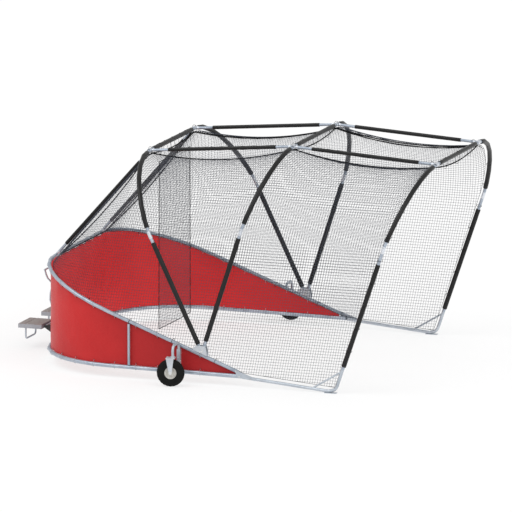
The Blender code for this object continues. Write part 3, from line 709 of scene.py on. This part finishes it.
def net_low(x):
    """(y, z) of a side net's lower edge."""
    side = SIDE_Y - NET_INSET
    radius = CORNER_RADIUS - NET_INSET
    round_y = CORNER_Y + np.sqrt(np.maximum(radius**2 - np.minimum(x - CORNER_X, 0) ** 2, 0))
    rail_z = TOP_RAIL_Z + (NET_TOE_Z - TOP_RAIL_Z) * (x - GUSSET_X) / (NET_TOE_X - GUSSET_X)
    plan = ARCH["front"]
    behind = plan.top.x + (NET_TOE_Z - plan.top.z) * plan.along.x / plan.along.z - NET_TOE_X
    s = (x + behind - plan.top.x) / plan.along.x
    arch_y = np.interp(s, *inside_bow().T, left=side)
    arch_z = plan.top.z + plan.along.z * s
    y = np.where(x < CORNER_X, round_y, np.where(x < NET_TOE_X, side, arch_y))
    z = np.where(x < GUSSET_X, top_rail_z(x), np.where(x < NET_TOE_X, rail_z, arch_z))
    return y, z


# How far an arch has widened, and how far it has dropped, going out along its shoulder.
WIDENING = np.array([shoulder(1 - k / 40) for k in range(41)]) @ np.diag((1, -1)) - (ROOF_Y, 0)
NET_STEPS = 90
NET_CROWDING = 1.6  # over 1, a section's points lie closer together towards its top


def side_columns(x):
    """For each x, the side net's section from its lower edge up: y, z and distance up the net."""
    top = net_top(x)
    y_low, z_low = net_low(x)
    height = top - z_low
    drop = height[:, None] * (1 - np.linspace(0, 1, NET_STEPS)) ** NET_CROWDING
    widest = np.maximum(np.interp(height, WIDENING[:, 1], WIDENING[:, 0]), 1e-6)
    share = np.interp(drop, WIDENING[:, 1], WIDENING[:, 0]) / widest[:, None]
    y = NET_EDGE_Y + (y_low[:, None] - NET_EDGE_Y) * share
    z = top[:, None] - drop
    step = np.hypot(np.diff(y, axis=1), np.diff(z, axis=1))
    up = np.pad(np.cumsum(step, axis=1), ((0, 0), (1, 0))) + z_low[:, None]
    return y, z, up


def side_points(x, up):
    """Points of the left side net at these x and distances up it."""
    points = []
    for here, height, y, z, ups in zip(x, up, *side_columns(x)):
        points.append((here, np.interp(height, ups, y), np.interp(height, ups, z)))
    return np.array(points)


def side_grid(count):
    """x along the side net, with a place at each bend of its lower edge."""
    even = np.linspace(NET_BACK_X, NET_FRONT_X, count)
    return np.unique([*even, CORNER_X, GUSSET_X, NET_TOE_X])


def runs(inside):
    """(first, last) of each unbroken stretch of True."""
    edges = np.flatnonzero(np.diff(np.concatenate([[0], inside.astype(int), [0]])))
    return list(zip(edges[::2], edges[1::2] - 1))


def crossing(grid, value, one, other):
    """Where value is 0 between two neighbours of a grid."""
    a, b = value[one], value[other]
    return grid[one] + (grid[other] - grid[one]) * a / (a - b)


def stretches(grid, room, every):
    """For each stretch of the grid with room above 0: its exact ends, and places along it."""
    for first, last in runs(room > 0):
        places = list(grid[first:last + 1])
        if first and not np.isnan(room[first - 1]):
            places.insert(0, crossing(grid, room, first - 1, first))
        if last < len(grid) - 1 and not np.isnan(room[last + 1]):
            places.append(crossing(grid, room, last, last + 1))
        low, high = places[0], places[-1]
        yield low, high, np.unique([low, *places[1:-1:every], high])


def side_net():
    """Level strands, leaning strands and knots of the left side net, as lists of points."""
    grid = side_grid(400)
    _, _, ups = side_columns(grid)
    low, high = ups[:, 0], ups[:, -1]
    levels = np.arange(math.ceil(low.min() / MESH_DOWN), high.max() / MESH_DOWN) * MESH_DOWN
    strands, knots = [], []
    for level in levels:
        for start, end, xs in stretches(grid, np.minimum(level - low, high - level), 5):
            if end - start > 0.01:
                strands.append((side_points(xs, np.full(len(xs), level)), Z_AXIS))
    along = plan_length(grid)
    lean = along[:, None] - MESH_LEAN * ups[:, ::6]
    starts = np.arange(math.ceil(lean.min() / MESH_ALONG), lean.max() / MESH_ALONG) * MESH_ALONG
    heights = np.linspace(low.min(), high.max(), 220)
    for start in starts:
        xs = np.interp(start + MESH_LEAN * heights, along, grid, left=np.nan, right=np.nan)
        above, below = heights - np.interp(xs, grid, low), np.interp(xs, grid, high) - heights
        for bottom, top, picked in stretches(heights, np.minimum(above, below), 6):
            if top - bottom < 0.02:
                continue
            xs = np.interp(start + MESH_LEAN * picked, along, grid)
            strands.append((side_points(xs, picked), X_AXIS))
            tied = levels[(levels > bottom + 0.01) & (levels < top - 0.01)]
            if len(tied):
                knots.append(side_points(np.interp(start + MESH_LEAN * tied, along, grid), tied))
    return strands, np.concatenate(knots)


def lines(surface, us, vs, up_u, up_v, along_u, along_v):
    """Lines on surface(u, v): one at each of us along along_v, then one at each of vs."""
    found = [(surface(np.full(len(along_v), u), along_v), up_u) for u in us]
    return found + [(surface(along_u, np.full(len(along_u), v)), up_v) for v in vs]


def grid_net(surface, us, vs, up_u, up_v, u_steps, v_steps, radius):
    """A net on surface(u, v), with its strands at the given us and vs apart from its edges."""
    along_u, along_v = np.linspace(us[0], us[-1], u_steps), np.linspace(vs[0], vs[-1], v_steps)
    strands = lines(surface, us[1:-1], vs[1:-1], up_u, up_v, along_u, along_v)
    return net_mesh(strands, radius=radius)


OCTAHEDRON = np.array([(1, 0, 0), (-1, 0, 0), (0, 1, 0), (0, -1, 0), (0, 0, 1), (0, 0, -1)])
OCTAHEDRON_FACES = [(0, 2, 4), (2, 1, 4), (1, 3, 4), (3, 0, 4)]
OCTAHEDRON_FACES += [(2, 0, 5), (1, 2, 5), (3, 1, 5), (0, 3, 5)]


def net_mesh(strands, knots=(), mirror=1, radius=TWINE_R):
    mesh = Mesh(mirror)
    for points, up in strands:
        mesh.add(*tube(points, radius, up, 3))
    for knot in knots:
        mesh.add(knot + OCTAHEDRON * KNOT_R, OCTAHEDRON_FACES)
    return mesh


def rope(mesh, points, up, radius=ROPE_R, sides=8):
    mesh.add(*tube(points, radius, up, sides), kind=1)


def tie(mesh, one, other, along, spare=TIE_SPARE):
    """A turn of cord that lashes a net's edge rope at one place to the tube at another.

    It is a closed oval ring across `along`, and reaches past both places by `spare`.
    """
    one, other, along = Vector(one), Vector(other), Vector(along).normalized()
    reach, long_way = (other - one).length / 2 + spare, (other - one).normalized()
    short_way = long_way.cross(along) * TIE_HALF_WIDTH
    count, sides = 20, 6
    points = []
    for k in range(count):
        turn = 2 * math.pi * k / count
        out = long_way * math.cos(turn) * reach + short_way * math.sin(turn)
        for j in range(sides):
            a = 2 * math.pi * j / sides
            skin = out.normalized() * math.cos(a) + along * math.sin(a)
            points.append(one.lerp(other, 0.5) + out + skin * TIE_R)
    mesh.add(np.array(points), looped(count, sides), kind=1)


def net_piece(mesh, name, strand, node):
    """The finished net, in its twine and border rope, in place of its CAD node."""
    made = mesh.piece(name, (strand, ROPE), "frame", "net_cord", sharp=180)
    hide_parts(node)


strands, knots = side_net()
edge_x = side_grid(90)
_, _, ups = side_columns(edge_x)
upper_edge = side_points(edge_x, ups[:, -1])
lower_edge = side_points(edge_x, ups[:, 0])
for side, sign in SIDES.items():
    made = net_mesh(strands, knots, sign)
    rope(made, upper_edge, Z_AXIS)
    rope(made, lower_edge, (0.3, 0.95, 0), EDGE_CORD_R, 6)
    for x in np.arange(-2.30, GUSSET_X, 0.66):
        y, z = (value.item() for value in net_low(np.array(x)))
        rail = y + NET_INSET if x > CORNER_X else y + NET_INSET * 0.6
        tie(made, (x, y, z), (x, rail, z), (1, 0, TOP_RAIL_RISE))
    for name, plan in ARCH.items():
        x = plan.top.x if name != "front" else NET_FRONT_X - 0.02
        y, z = NET_EDGE_Y + 0.012, net_top(np.array(x)).item()
        tie(made, (x, y, z + 0.010), (x, y, z + 0.062), Y_AXIS)
    plan = ARCH["front"]
    for s in np.arange(0.55, plan.length - 0.40, 0.36):
        inner_y = np.interp(-s, *inside_bow().T, left=SIDE_Y - NET_INSET)
        outer_y = np.interp(-s, SHOULDER[:, 1], SHOULDER[:, 0], left=SIDE_Y)
        tie(made, plan.point(inner_y, -s), plan.point(outer_y, -s), plan.along, 0.040)
    net_piece(made, f"side_netting_{side}", TWINE, f"side_net_{side}")


def roof_surface(x, y):
    """The roof net, which sags between the crossbars and between its two long edges."""
    rear, middle, front = (plan.top for plan in ARCH.values())
    first = x < middle.x
    one_x, other_x = np.where(first, rear.x, middle.x), np.where(first, middle.x, front.x)
    one_z, other_z = np.where(first, rear.z, middle.z), np.where(first, middle.z, front.z)
    t = (x - one_x) / (other_x - one_x)
    z = one_z + (other_z - one_z) * t - NET_DROP - NET_SAG[1] * 4 * t * (1 - t)
    z -= ROOF_NET_SAG * (1 - (y / NET_EDGE_Y) ** 2)
    return np.stack([x, y, z], axis=-1)


def meshes(low, high, size):
    """Evenly spaced strands from low to high, as near to a mesh's size apart as fits."""
    return np.linspace(low, high, round((high - low) / size) + 1)


reach = NET_EDGE_Y - 0.02
rear_x, front_x = ARCH["rear"].top.x + 0.005, ARCH["front"].top.x - 0.005
roof_xs, roof_ys = meshes(rear_x, front_x, MESH_ALONG), meshes(-reach, reach, MESH_DOWN)
made = grid_net(roof_surface, roof_xs, roof_ys, X_AXIS, Z_AXIS, 60, 12, FINE_TWINE_R)
rope_xs, rope_ys = (rear_x, ARCH["middle"].top.x, front_x), (-reach, reach)
along_x, along_y = np.linspace(rear_x, front_x, 70), np.linspace(-reach, reach, 24)
for points, up in lines(roof_surface, rope_xs, rope_ys, X_AXIS, Z_AXIS, along_x, along_y):
    rope(made, points, up)
for x in rope_xs:
    for y in (-0.55, 0.0, 0.55):
        plan = min(ARCH.values(), key=lambda arch: abs(arch.top.x - x))
        low = roof_surface(np.array(x), np.array(y))
        tie(made, low, (plan.top.x, y, plan.top.z), Y_AXIS, 0.036)
net_piece(made, "roof_netting", FINE_TWINE, "roof_net")


def back_surface(y, t):
    """The back net, bellied outwards, from the top rail at t = 0 to the rear crossbar at t = 1."""
    low = Vector((BACK_X + 0.085, 0, top_rail_z(BACK_X) + 0.03))
    high = ARCH["rear"].top + Vector((-0.035, 0, -NET_DROP - 0.005))
    bulge = 0.10 * 4 * t * (1 - t)
    x = low.x + (high.x - low.x) * t + 0.5 * bulge
    z = low.z + (high.z - low.z) * t - 0.4 * bulge
    return np.stack([x + 0 * y, y + 0 * t, z + 0 * y], axis=-1)


BACK_NET_LENGTH = 2.2
back_ys, back_ts = meshes(-reach, reach, MESH_ALONG), meshes(0, 1, MESH_DOWN / BACK_NET_LENGTH)
made = grid_net(back_surface, back_ys, back_ts, Y_AXIS, Z_AXIS, 6, 24, FINE_TWINE_R)
along_y, along_t = np.linspace(-reach, reach, 12), np.linspace(0, 1, 30)
edges = lines(back_surface, rope_ys, (0.0, 1.0), Y_AXIS, Vector((0.3, 0, 1)), along_y, along_t)
for points, up in edges:
    rope(made, points, up)
for y in (-0.7, -0.35, 0.0, 0.35, 0.7):
    tie(made, back_surface(np.array(y), np.array(0.0)), (BACK_X, y, top_rail_z(BACK_X)), Y_AXIS)
net_piece(made, "back_netting", FINE_TWINE, "back_net")


def drop_surface(y, z):
    """The drop net hangs from the rear crossbar, with a faint billow lower down."""
    fall = (DROP_HIGH - z) / (DROP_HIGH - DROP_LOW)
    x = ARCH["rear"].top.x + 0.035 + 0.012 * np.sin(3.1 * y + 1.0) * fall
    return np.stack([x, y + 0 * z, z + 0 * y], axis=-1)


drop_ys = meshes(-DROP_HALF_Y, DROP_HALF_Y, MESH_ALONG)
drop_zs = meshes(DROP_LOW, DROP_HIGH, MESH_DOWN)
made = grid_net(drop_surface, drop_ys, drop_zs, Y_AXIS, Z_AXIS, 16, 26, DROP_TWINE_R)
rope_ys, rope_zs = (-DROP_HALF_Y, DROP_HALF_Y), (DROP_LOW, DROP_HIGH)
along_z = np.linspace(DROP_LOW, DROP_HIGH, 40)
for points, up in lines(drop_surface, rope_ys, rope_zs, Y_AXIS, Z_AXIS, drop_ys, along_z):
    rope(made, points, up, DROP_ROPE_R)
hung = ARCH["rear"].top
for y in np.linspace(-DROP_HALF_Y + 0.02, DROP_HALF_Y - 0.02, 5):
    tie(made, (hung.x + 0.035, y, DROP_HIGH), (hung.x, y, hung.z), Y_AXIS, 0.036)
net_piece(made, "drop_netting", TWINE, "drop_net")


# ---------------------------------------------------------------- skirt


def horseshoe(inset, front_x, count):
    """Evenly spaced plan points, outward directions and length round the base, from the left."""
    radius = CORNER_RADIUS - inset
    side, bend, back = front_x - CORNER_X, radius * math.pi / 2, 2 * CORNER_Y
    total = 2 * side + 2 * bend + back
    places, outs = [], []
    for at in np.linspace(0, total, count):
        mirror = at > total / 2
        here = total - at if mirror else at
        if here < side:
            x, y, out = front_x - here, SIDE_Y - inset, (0.0, 1.0)
        elif here < side + bend:
            turn = (here - side) / radius
            out = (-math.sin(turn), math.cos(turn))
            x, y = CORNER_X + radius * out[0], CORNER_Y + radius * out[1]
        else:
            x, y, out = CORNER_X - radius, CORNER_Y - (here - side - bend), (-1.0, 0.0)
        sign = -1 if mirror else 1
        places.append((x, sign * y))
        outs.append((out[0], sign * out[1]))
    return np.array(places), np.array(outs), total


def skirt():
    """The vinyl: laced tight between the rails, puckered at each lacing, with welded seams."""
    across, down, half, lacing = 361, 26, 0.0009, 0.33
    places, outs, total = horseshoe(SKIRT_INSET, SKIRT_END_X, across)
    at = np.linspace(0, total, across)[:, None]
    v = np.linspace(0, 1, down)[None, :]
    low = base_rail_z(places[:, :1]) + BASE_RAIL_R - 0.002
    # The vinyl stands inside the rail's centre line, so it tucks up beside the tube.
    tuck = math.sqrt(TOP_RAIL_R**2 - SKIRT_INSET**2) + 0.0006
    high = top_rail_z(places[:, :1] + outs[:, :1] * SKIRT_INSET) - tuck
    tall = high - low
    scallop = 0.003 * np.abs(np.sin(math.pi * at / lacing)) * np.minimum(tall / 0.3, 1)
    z = low + scallop * 0.6 + (tall - scallop * 1.6) * v
    room = np.minimum(tall, 0.6)
    pucker = np.exp(-((1 - v) * tall / 0.16)) * np.cos(2 * math.pi * at / lacing) * 0.0045
    swell = 0.010 * np.sin(1.9 * at + 0.8) + 0.006 * np.sin(4.3 * at + 2.1 * v + 0.4)
    billow = np.sin(math.pi * v) * swell
    crease = 0.0020 * np.sin(11.0 * at + 5.0 * v * tall) * np.sin(math.pi * v) ** 0.5
    bulge = np.clip((billow + crease) * room / 0.6 + pucker - 0.004, -0.016, 0.005)
    welt = 0.0012 * (np.abs((at % 1.40) - 0.70) < 0.022)
    plan = places[:, None] + outs[:, None] * bulge[:, :, None]
    middle = np.concatenate([plan, np.broadcast_to(z, bulge.shape)[:, :, None]], axis=2)
    out = np.concatenate([outs, np.zeros((across, 1))], axis=1)[:, None]
    thick = (half + welt)[:, :, None]
    front, back = middle + out * thick, middle - out * half
    loops = np.concatenate([front, back[:, ::-1]], axis=1)
    ring, used = 2 * down, 2 * down * across
    mesh = Mesh().add(loops, capped(lattice(across, ring), used, ring))
    for column in (0, -1):
        mesh.add(*tube(middle[:, column], 0.0034, Z_AXIS, 8))
    made = mesh.piece("vinyl_skirt", (VINYL, VINYL_PAINTED_LIT), "frame", "skirt_vinyl", sharp=60)
    data = made.data
    # The inner faces take the brighter vinyl copy, painted light on the skirt's shaded inside.
    for face in data.polygons:
        inner = all(corner % ring >= down for corner in face.vertices)
        face.material_index = int(inner and max(face.vertices) < used)
    layer = data.uv_layers.new(name="cloth")
    for loop in data.loops:
        k, c = divmod(loop.vertex_index, ring)
        # The cords down the two ends come after the cloth's own points.
        on_cloth = loop.vertex_index < used
        layer.data[loop.index].uv = (at[k, 0], z[k, min(c, ring - 1 - c)]) if on_cloth else (0, 0)
    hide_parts("skirt")
    return places, outs, lacing, total


LACED_HEIGHT = 0.22  # where the skirt is lower than this it has no room for eyelets
LOOP_CORD_R = 0.0022


def lacing_loops(places, outs, pitch, total):
    """Cord loops through eyelets that hold the skirt to its two rails."""
    cords, eyelets = Mesh(), Mesh()
    at = np.linspace(0, total, len(places))
    for want in np.arange(pitch / 2, total, pitch):
        x, y, *out = (np.interp(want, at, row) for row in (*places.T, *outs.T))
        out = Vector((*out, 0)).normalized()
        along = Vector((-out.y, out.x, 0))
        high, low = top_rail_z(x), base_rail_z(x)
        if high - low < LACED_HEIGHT:
            continue
        for rail_z, radius, rise in ((high, TOP_RAIL_R, -1), (low, BASE_RAIL_R, 1)):
            centre = Vector((x, y, rail_z)) + out * SKIRT_INSET
            reach = radius + 0.005
            hole = centre - out * (SKIRT_INSET + 0.001) + Z_AXIS * rise * (radius + 0.030)
            loop = [hole - out * 0.006]
            for k in range(9):
                turn = math.radians(200 - 27.5 * k)
                round_rail = out * math.cos(turn) - Z_AXIS * rise * math.sin(turn)
                loop.append(centre + round_rail * reach)
            loop.append(hole + out * 0.006)
            cords.add(*tube(loop, LOOP_CORD_R, along, 6))
            for facing in (-1, 1):
                start = hole + out * facing * 0.0006
                disc = [start, start + out * facing * 0.0018, start + out * facing * 0.0026]
                eyelets.add(*tube(disc, [0.0095, 0.0090, 0.0065], Z_AXIS, 16))
    cords.piece("skirt_lacing", LACE, "frame", "net_cord", sharp=60)
    eyelets.piece("skirt_eyelets", EYELET, "frame", "steel_tube", sharp=40)


lacing_loops(*skirt())


# ---------------------------------------------------------------- wheels


def wheel_place(sign):
    """The wheel's own frame: its local Y is the axle."""
    turn = -sign * CASTER_TURN
    hub = (SLEEVE_X - TRAIL * math.cos(turn), sign * CASTER_Y - TRAIL * math.sin(turn), WHEEL_R)
    return Matrix.Translation(hub) @ Matrix.Rotation(turn, 4, "Z")


def tyre_profile():
    """The tyre's section, a closed loop: beads, bulged walls with two rings, and a ribbed crown."""
    bead, crown = HUB_R + 0.0005, WHEEL_R
    half = [(bead, 0.036), (bead + 0.006, 0.043), (0.108, 0.0445), (0.111, 0.0462)]
    half += [(0.115, 0.0445), (0.132, 0.0472), (0.150, 0.0478), (0.168, 0.0462)]
    half += [(0.171, 0.0470), (0.175, 0.0440), (0.186, 0.0400), (0.1925, 0.0350)]
    half += [(0.1905, 0.0325), (0.1905, 0.0290), (0.1985, 0.0265), (0.2010, 0.0180)]
    half += [(0.1955, 0.0160), (0.1955, 0.0125), (0.2025, 0.0105), (crown, 0.0050)]
    half += [(crown, 0.0035), (0.1975, 0.0022)]
    return half + [(r, -y) for r, y in reversed(half)]


TREAD_FLOOR, SIPE_DEPTH = 0.1965, 0.0042


def tread(points, count):
    """Cuts cross sipes into the crown's ribs, the wheel's two halves half a pitch apart."""
    for k, (x, y, z) in enumerate(points):
        step, radius = k // count + (0 if y > 0 else 2), math.hypot(x, z)
        if radius > TREAD_FLOOR and abs(y) > 0.003 and step % 4 == 0:
            share = 1 - SIPE_DEPTH / radius
            points[k] = (x * share, y, z * share)
    return points


def hub_mesh():
    """A dished two-piece hub with a rim flange, five bolts a side and a turned boss."""
    half = TYRE_HALF
    # (radius, depth in from the tyre's side)
    outer = [(AXLE_R + 0.001, 0.004), (0.022, 0.004), (0.025, 0.006), (0.0265, 0.020)]
    outer += [(0.032, 0.0225), (0.052, 0.0235), (0.060, 0.0200), (0.072, 0.0190)]
    outer += [(0.079, 0.0150), (0.083, 0.0108), (0.0865, 0.0100), (HUB_R, 0.0120)]
    profile = [(r, half - d) for r, d in outer] + [(r, d - half) for r, d in reversed(outer)]
    mesh = Mesh().add(*turned(profile, 60))
    for k in range(5):
        turn = 2 * math.pi * (k + 0.25) / 5
        for face in (-1, 1):
            place = (0.043 * math.cos(turn), face * (half - 0.0240), 0.043 * math.sin(turn))
            mesh.add(*bolt(place, (0, face, 0), 0.0050, 0.0045))
    valve = Vector((0.070, half - 0.020, 0.0))
    stem = [valve + Vector((0, step, 0)) for step in (0, 0.006, 0.010, 0.0125)]
    return mesh.add(*tube(stem, [0.0040, 0.0032, 0.0028, 0.0024], Z_AXIS, 10))


for side, sign in SIDES.items():
    place = wheel_place(sign)
    body, profile = f"wheel_{side}", tyre_profile()
    points, faces = turned(profile, 96)
    tyre = Mesh().add(tread(points, len(profile)), faces)
    tyre = tyre.piece(f"ribbed_tyre_{side}", RUBBER, body, "tyre_rubber", 32, place)
    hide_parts(f"tyre_{side}")
    hub = hub_mesh().piece(f"dished_hub_{side}", HUB_PAINT, body, "hub_metal", 35, place)
    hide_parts(f"wheel_hub_{side}")

    # The axle's nuts and the four bolts on the swivel's plate turn with the fork.
    nuts = Mesh()
    for face in (-1, 1):
        nuts.add(*bolt((0, face * FORK_CHEEK_Y, 0), (0, face, 0), 0.0150, 0.0095))
    for x in (-0.052, 0.052):
        for y in (-0.046, 0.046):
            nuts.add(*bolt((x, y, FORK_TOP_Z - WHEEL_R), Z_AXIS, 0.0065, 0.0060))
    nuts.piece(f"fork_bolts_{side}", BOLT_STEEL, f"caster_{side}", "steel_tube", 32, place)

    # The pin that sets the wheel's height, and the sleeve's clamp bolts.
    pins = Mesh()
    for z in (0.200, 0.330, 0.440):
        for facing in (-1, 1):
            head = (SLEEVE_X + facing * 0.026, sign * SLEEVE_Y, z)
            pins.add(*bolt(head, (facing, 0, 0), 0.0075, 0.0070))
    pin = [(SLEEVE_X, sign * (SLEEVE_Y + y), 0.385) for y in (0.0262, 0.034, 0.050, 0.056)]
    pins.add(*tube(pin, [0.0065, 0.0065, 0.0095, 0.0070], Z_AXIS, 12))
    pins.piece(f"sleeve_pin_{side}", BOLT_STEEL, "frame", "steel_tube", sharp=35)


# ---------------------------------------------------------------- fittings


def collar(mesh, centre, along, tube_r, wall, length, up):
    """A turned coupling with rolled ends, round a tube of radius tube_r."""
    half = Vector(along).normalized() * length / 2
    path = [centre + half * share for share in (-1, -0.3, 0.3, 1)]
    bore = tube_r + COUPLING_PLAY
    mesh.add(*sleeve(path, tube_r + wall, bore, up, rounding=0.003))


fittings, fixings = Mesh(), Mesh()
for name, plan in ARCH.items():
    for side, sign in SIDES.items():
        joint = plan.point(sign * SIDE_Y, -BOW_DROP)
        collar(fittings, joint, plan.along, LEG_R, 0.0020, 0.110, plan.normal)
        outward = Y_AXIS * sign
        for step in (-0.036, 0.036):
            fixings.add(*bolt(joint + plan.along * step + outward * 0.0260, outward, 0.0050))
        corner = plan.point(sign * ROOF_Y, 0)
        collar(fittings, corner, Y_AXIS, LEG_R, 0.0060, 0.105, plan.normal)
        fixings.add(*bolt(corner + Z_AXIS * 0.0301 + outward * 0.036, Z_AXIS, 0.0070))
for name, (start, end) in bar_spans.items():
    along = (end - start).normalized()
    up = along.cross(Y_AXIS)
    for tip, inward in ((start, along), (end, -along)):
        if name.startswith("back_brace") and tip is start:
            tip = tip + inward * 0.012
        collar(fittings, tip + inward * 0.030, along, BAR_R, 0.0030, 0.036, up)
        side_way = Y_AXIS * (1 if tip.y > 0 else -1)
        fixings.add(*bolt(tip + inward * 0.030 + side_way * 0.0240, side_way, 0.0052))
for side, sign in SIDES.items():
    # The leg bracket's through bolts, each at a distance up a leg from its foot.
    for name, step in (("rear", 0.04125), ("middle", 0.04125), ("middle", 0.07125)):
        for face in (-1, 1):
            place = Vector((FOOT[0], sign * SIDE_Y + face * 0.042, FOOT[1] - 0.02))
            place += ARCH[name].along * step
            fixings.add(*bolt(place, (0, face, 0), 0.0080, 0.0070))
    # The gusset plate's bolts, placed along X from the plate's own place.
    for x, z in ((-0.080, TOP_RAIL_Z + 0.034), (-0.030, BASE_RAIL_Z), (0.15, 0.122)):
        head = (GUSSET_X + x, sign * (SIDE_Y + BASE_RAIL_R + 0.0085), z)
        fixings.add(*bolt(head, (0, sign, 0), 0.0075, 0.0065))
fittings.piece("cast_sleeve_fittings", FITTING, "frame", "silver_tube", sharp=35)
fixings.piece("hex_bolts", BOLT_STEEL, "frame", "steel_tube", sharp=32)


# ---------------------------------------------------------------- seats


def rounded_plate(low, high, z, thick, radius):
    """A thin plate with round corners and a rounded upper edge."""
    steps = 5
    (x0, y0), (x1, y1) = low, high
    corners = ((x1 - radius, y1 - radius), (x0 + radius, y1 - radius))
    corners += ((x0 + radius, y0 + radius), (x1 - radius, y0 + radius))
    edge = ((0.0, 0.0), (0.0, thick - 0.0015), (0.0005, thick - 0.0005), (0.0018, thick))
    points = []
    for inset, height in edge:
        for quarter, (x, y) in enumerate(corners):
            for k in range(steps + 1):
                turn = math.radians(90 * (quarter + k / steps))
                across, up = math.cos(turn) * (radius - inset), math.sin(turn) * (radius - inset)
                points.append((x + across, y + up, z + height))
    count = len(points) // len(edge)
    return np.array(points), capped(lattice(len(edge), count), len(points), count)


for side, sign in SIDES.items():
    boards, trim = Mesh(), Mesh()
    low_y, high_y = sorted((sign * (SEAT_Y - SEAT_HALF), sign * (SEAT_Y + SEAT_HALF)))
    seam, edge = FOOT_LOOP_X, 0.004
    for x0, x1 in ((SEAT_END_X + edge, seam - 0.003), (seam + 0.003, SEAT_FRONT_X - edge)):
        low, high = (x0, low_y + edge), (x1, high_y - edge)
        boards.add(*rounded_plate(low, high, SEAT_TOP + 0.0002, 0.0035, 0.014))
        for x in (x0 + 0.022, x1 - 0.022):
            for y in (low_y + 0.032, high_y - 0.032):
                trim.add(*bolt((x, y, SEAT_TOP + 0.0036), Z_AXIS, 0.0048, 0.0022))
    boards.piece(f"seat_boards_{side}", SEAT_BOARD, f"seat_{side}", "seat_board", sharp=40)
    trim.piece(f"seat_screws_{side}", BOLT_STEEL, f"seat_{side}", "steel_tube", sharp=32)


# ---------------------------------------------------------------- stage, light and camera


WHITE = (1.0, 1.0, 1.0, 1.0)
FLOOR_GLOW, WORLD_GLOW = 0.68, 0.74
FLOOR_REACH, FLOOR_Z = 90.0, -0.001


def floor_finish():
    """A lit sweep: most of its white is its own, so that shadows on it stay faint."""
    glow = {"Emission_Color": WHITE, "Emission_Strength": FLOOR_GLOW}
    made = Finish("studio_floor", Specular_IOR_Level=0.1, **glow)
    haze = made.noise(0.35, 2.0, 0.4)
    made.set("Base Color", made.ramp(haze, (0.3, (0.29, 0.29, 0.29)), (0.7, (0.31, 0.31, 0.31))))
    made.set("Roughness", made.between(haze, 0.9, 0.95))
    return made.material


signs = ((-1, -1), (1, -1), (1, 1), (-1, 1))
corners = [(x * FLOOR_REACH, y * FLOOR_REACH, FLOOR_Z) for x, y in signs]
data = bpy.data.meshes.new("studio_floor")
data.from_pydata(corners, [], [(0, 1, 2, 3)])
data.materials.append(floor_finish())
floor = placed("studio_floor", data)
floor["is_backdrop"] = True

world = bpy.data.worlds.new("studio_world")
world.use_nodes = True
world.node_tree.nodes["Background"].inputs["Color"].default_value = WHITE
world.node_tree.nodes["Background"].inputs["Strength"].default_value = WORLD_GLOW
bpy.context.scene.world = world


def towards(turn, height):
    """The direction at this turn about Z from +X, and this height above the horizon."""
    level = math.cos(height)
    return Vector((math.cos(turn) * level, math.sin(turn) * level, math.sin(height)))


def sun(name, strength, softness, turn, height):
    """A soft sun from this compass turn about Z and height above the horizon, in degrees."""
    data = bpy.data.lights.new(name, "SUN")
    data.energy = strength
    data.angle = math.radians(softness)
    source = towards(math.radians(turn), math.radians(height))
    placed(name, data).rotation_euler = source.to_track_quat("Z", "Y").to_euler()


sun("key_sun", 0.95, 40.0, -140.0, 52.0)
sun("fill_sun", 0.80, 60.0, -35.0, 32.0)

# The camera stands far off behind a long lens, 19.5 degrees round from the cage's right side.
CAMERA_TURN, CAMERA_HEIGHT = math.radians(19.541 - 90), math.radians(10.984)
CAMERA_DISTANCE, CAMERA_AIM = 160.0, (0.16, 0.0, 1.47)
camera_data = bpy.data.cameras.new("camera")
camera_data.lens = 768.05
camera_data.sensor_width = 36.0
camera_data.clip_start, camera_data.clip_end = 10.0, 600.0
camera = placed("camera", camera_data)
back = towards(CAMERA_TURN, CAMERA_HEIGHT)
camera.location = Vector(CAMERA_AIM) + back * CAMERA_DISTANCE
camera.rotation_euler = back.to_track_quat("Z", "Y").to_euler()
bpy.context.scene.camera = camera
bpy.context.scene.view_settings.view_transform = "Standard"

bpy.context.view_layer.update()
visual_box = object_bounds()
sizes = {"cad": cad_box, "visual": visual_box}
sizes = {key: [list(map(float, corner)) for corner in box] for key, box in sizes.items()}
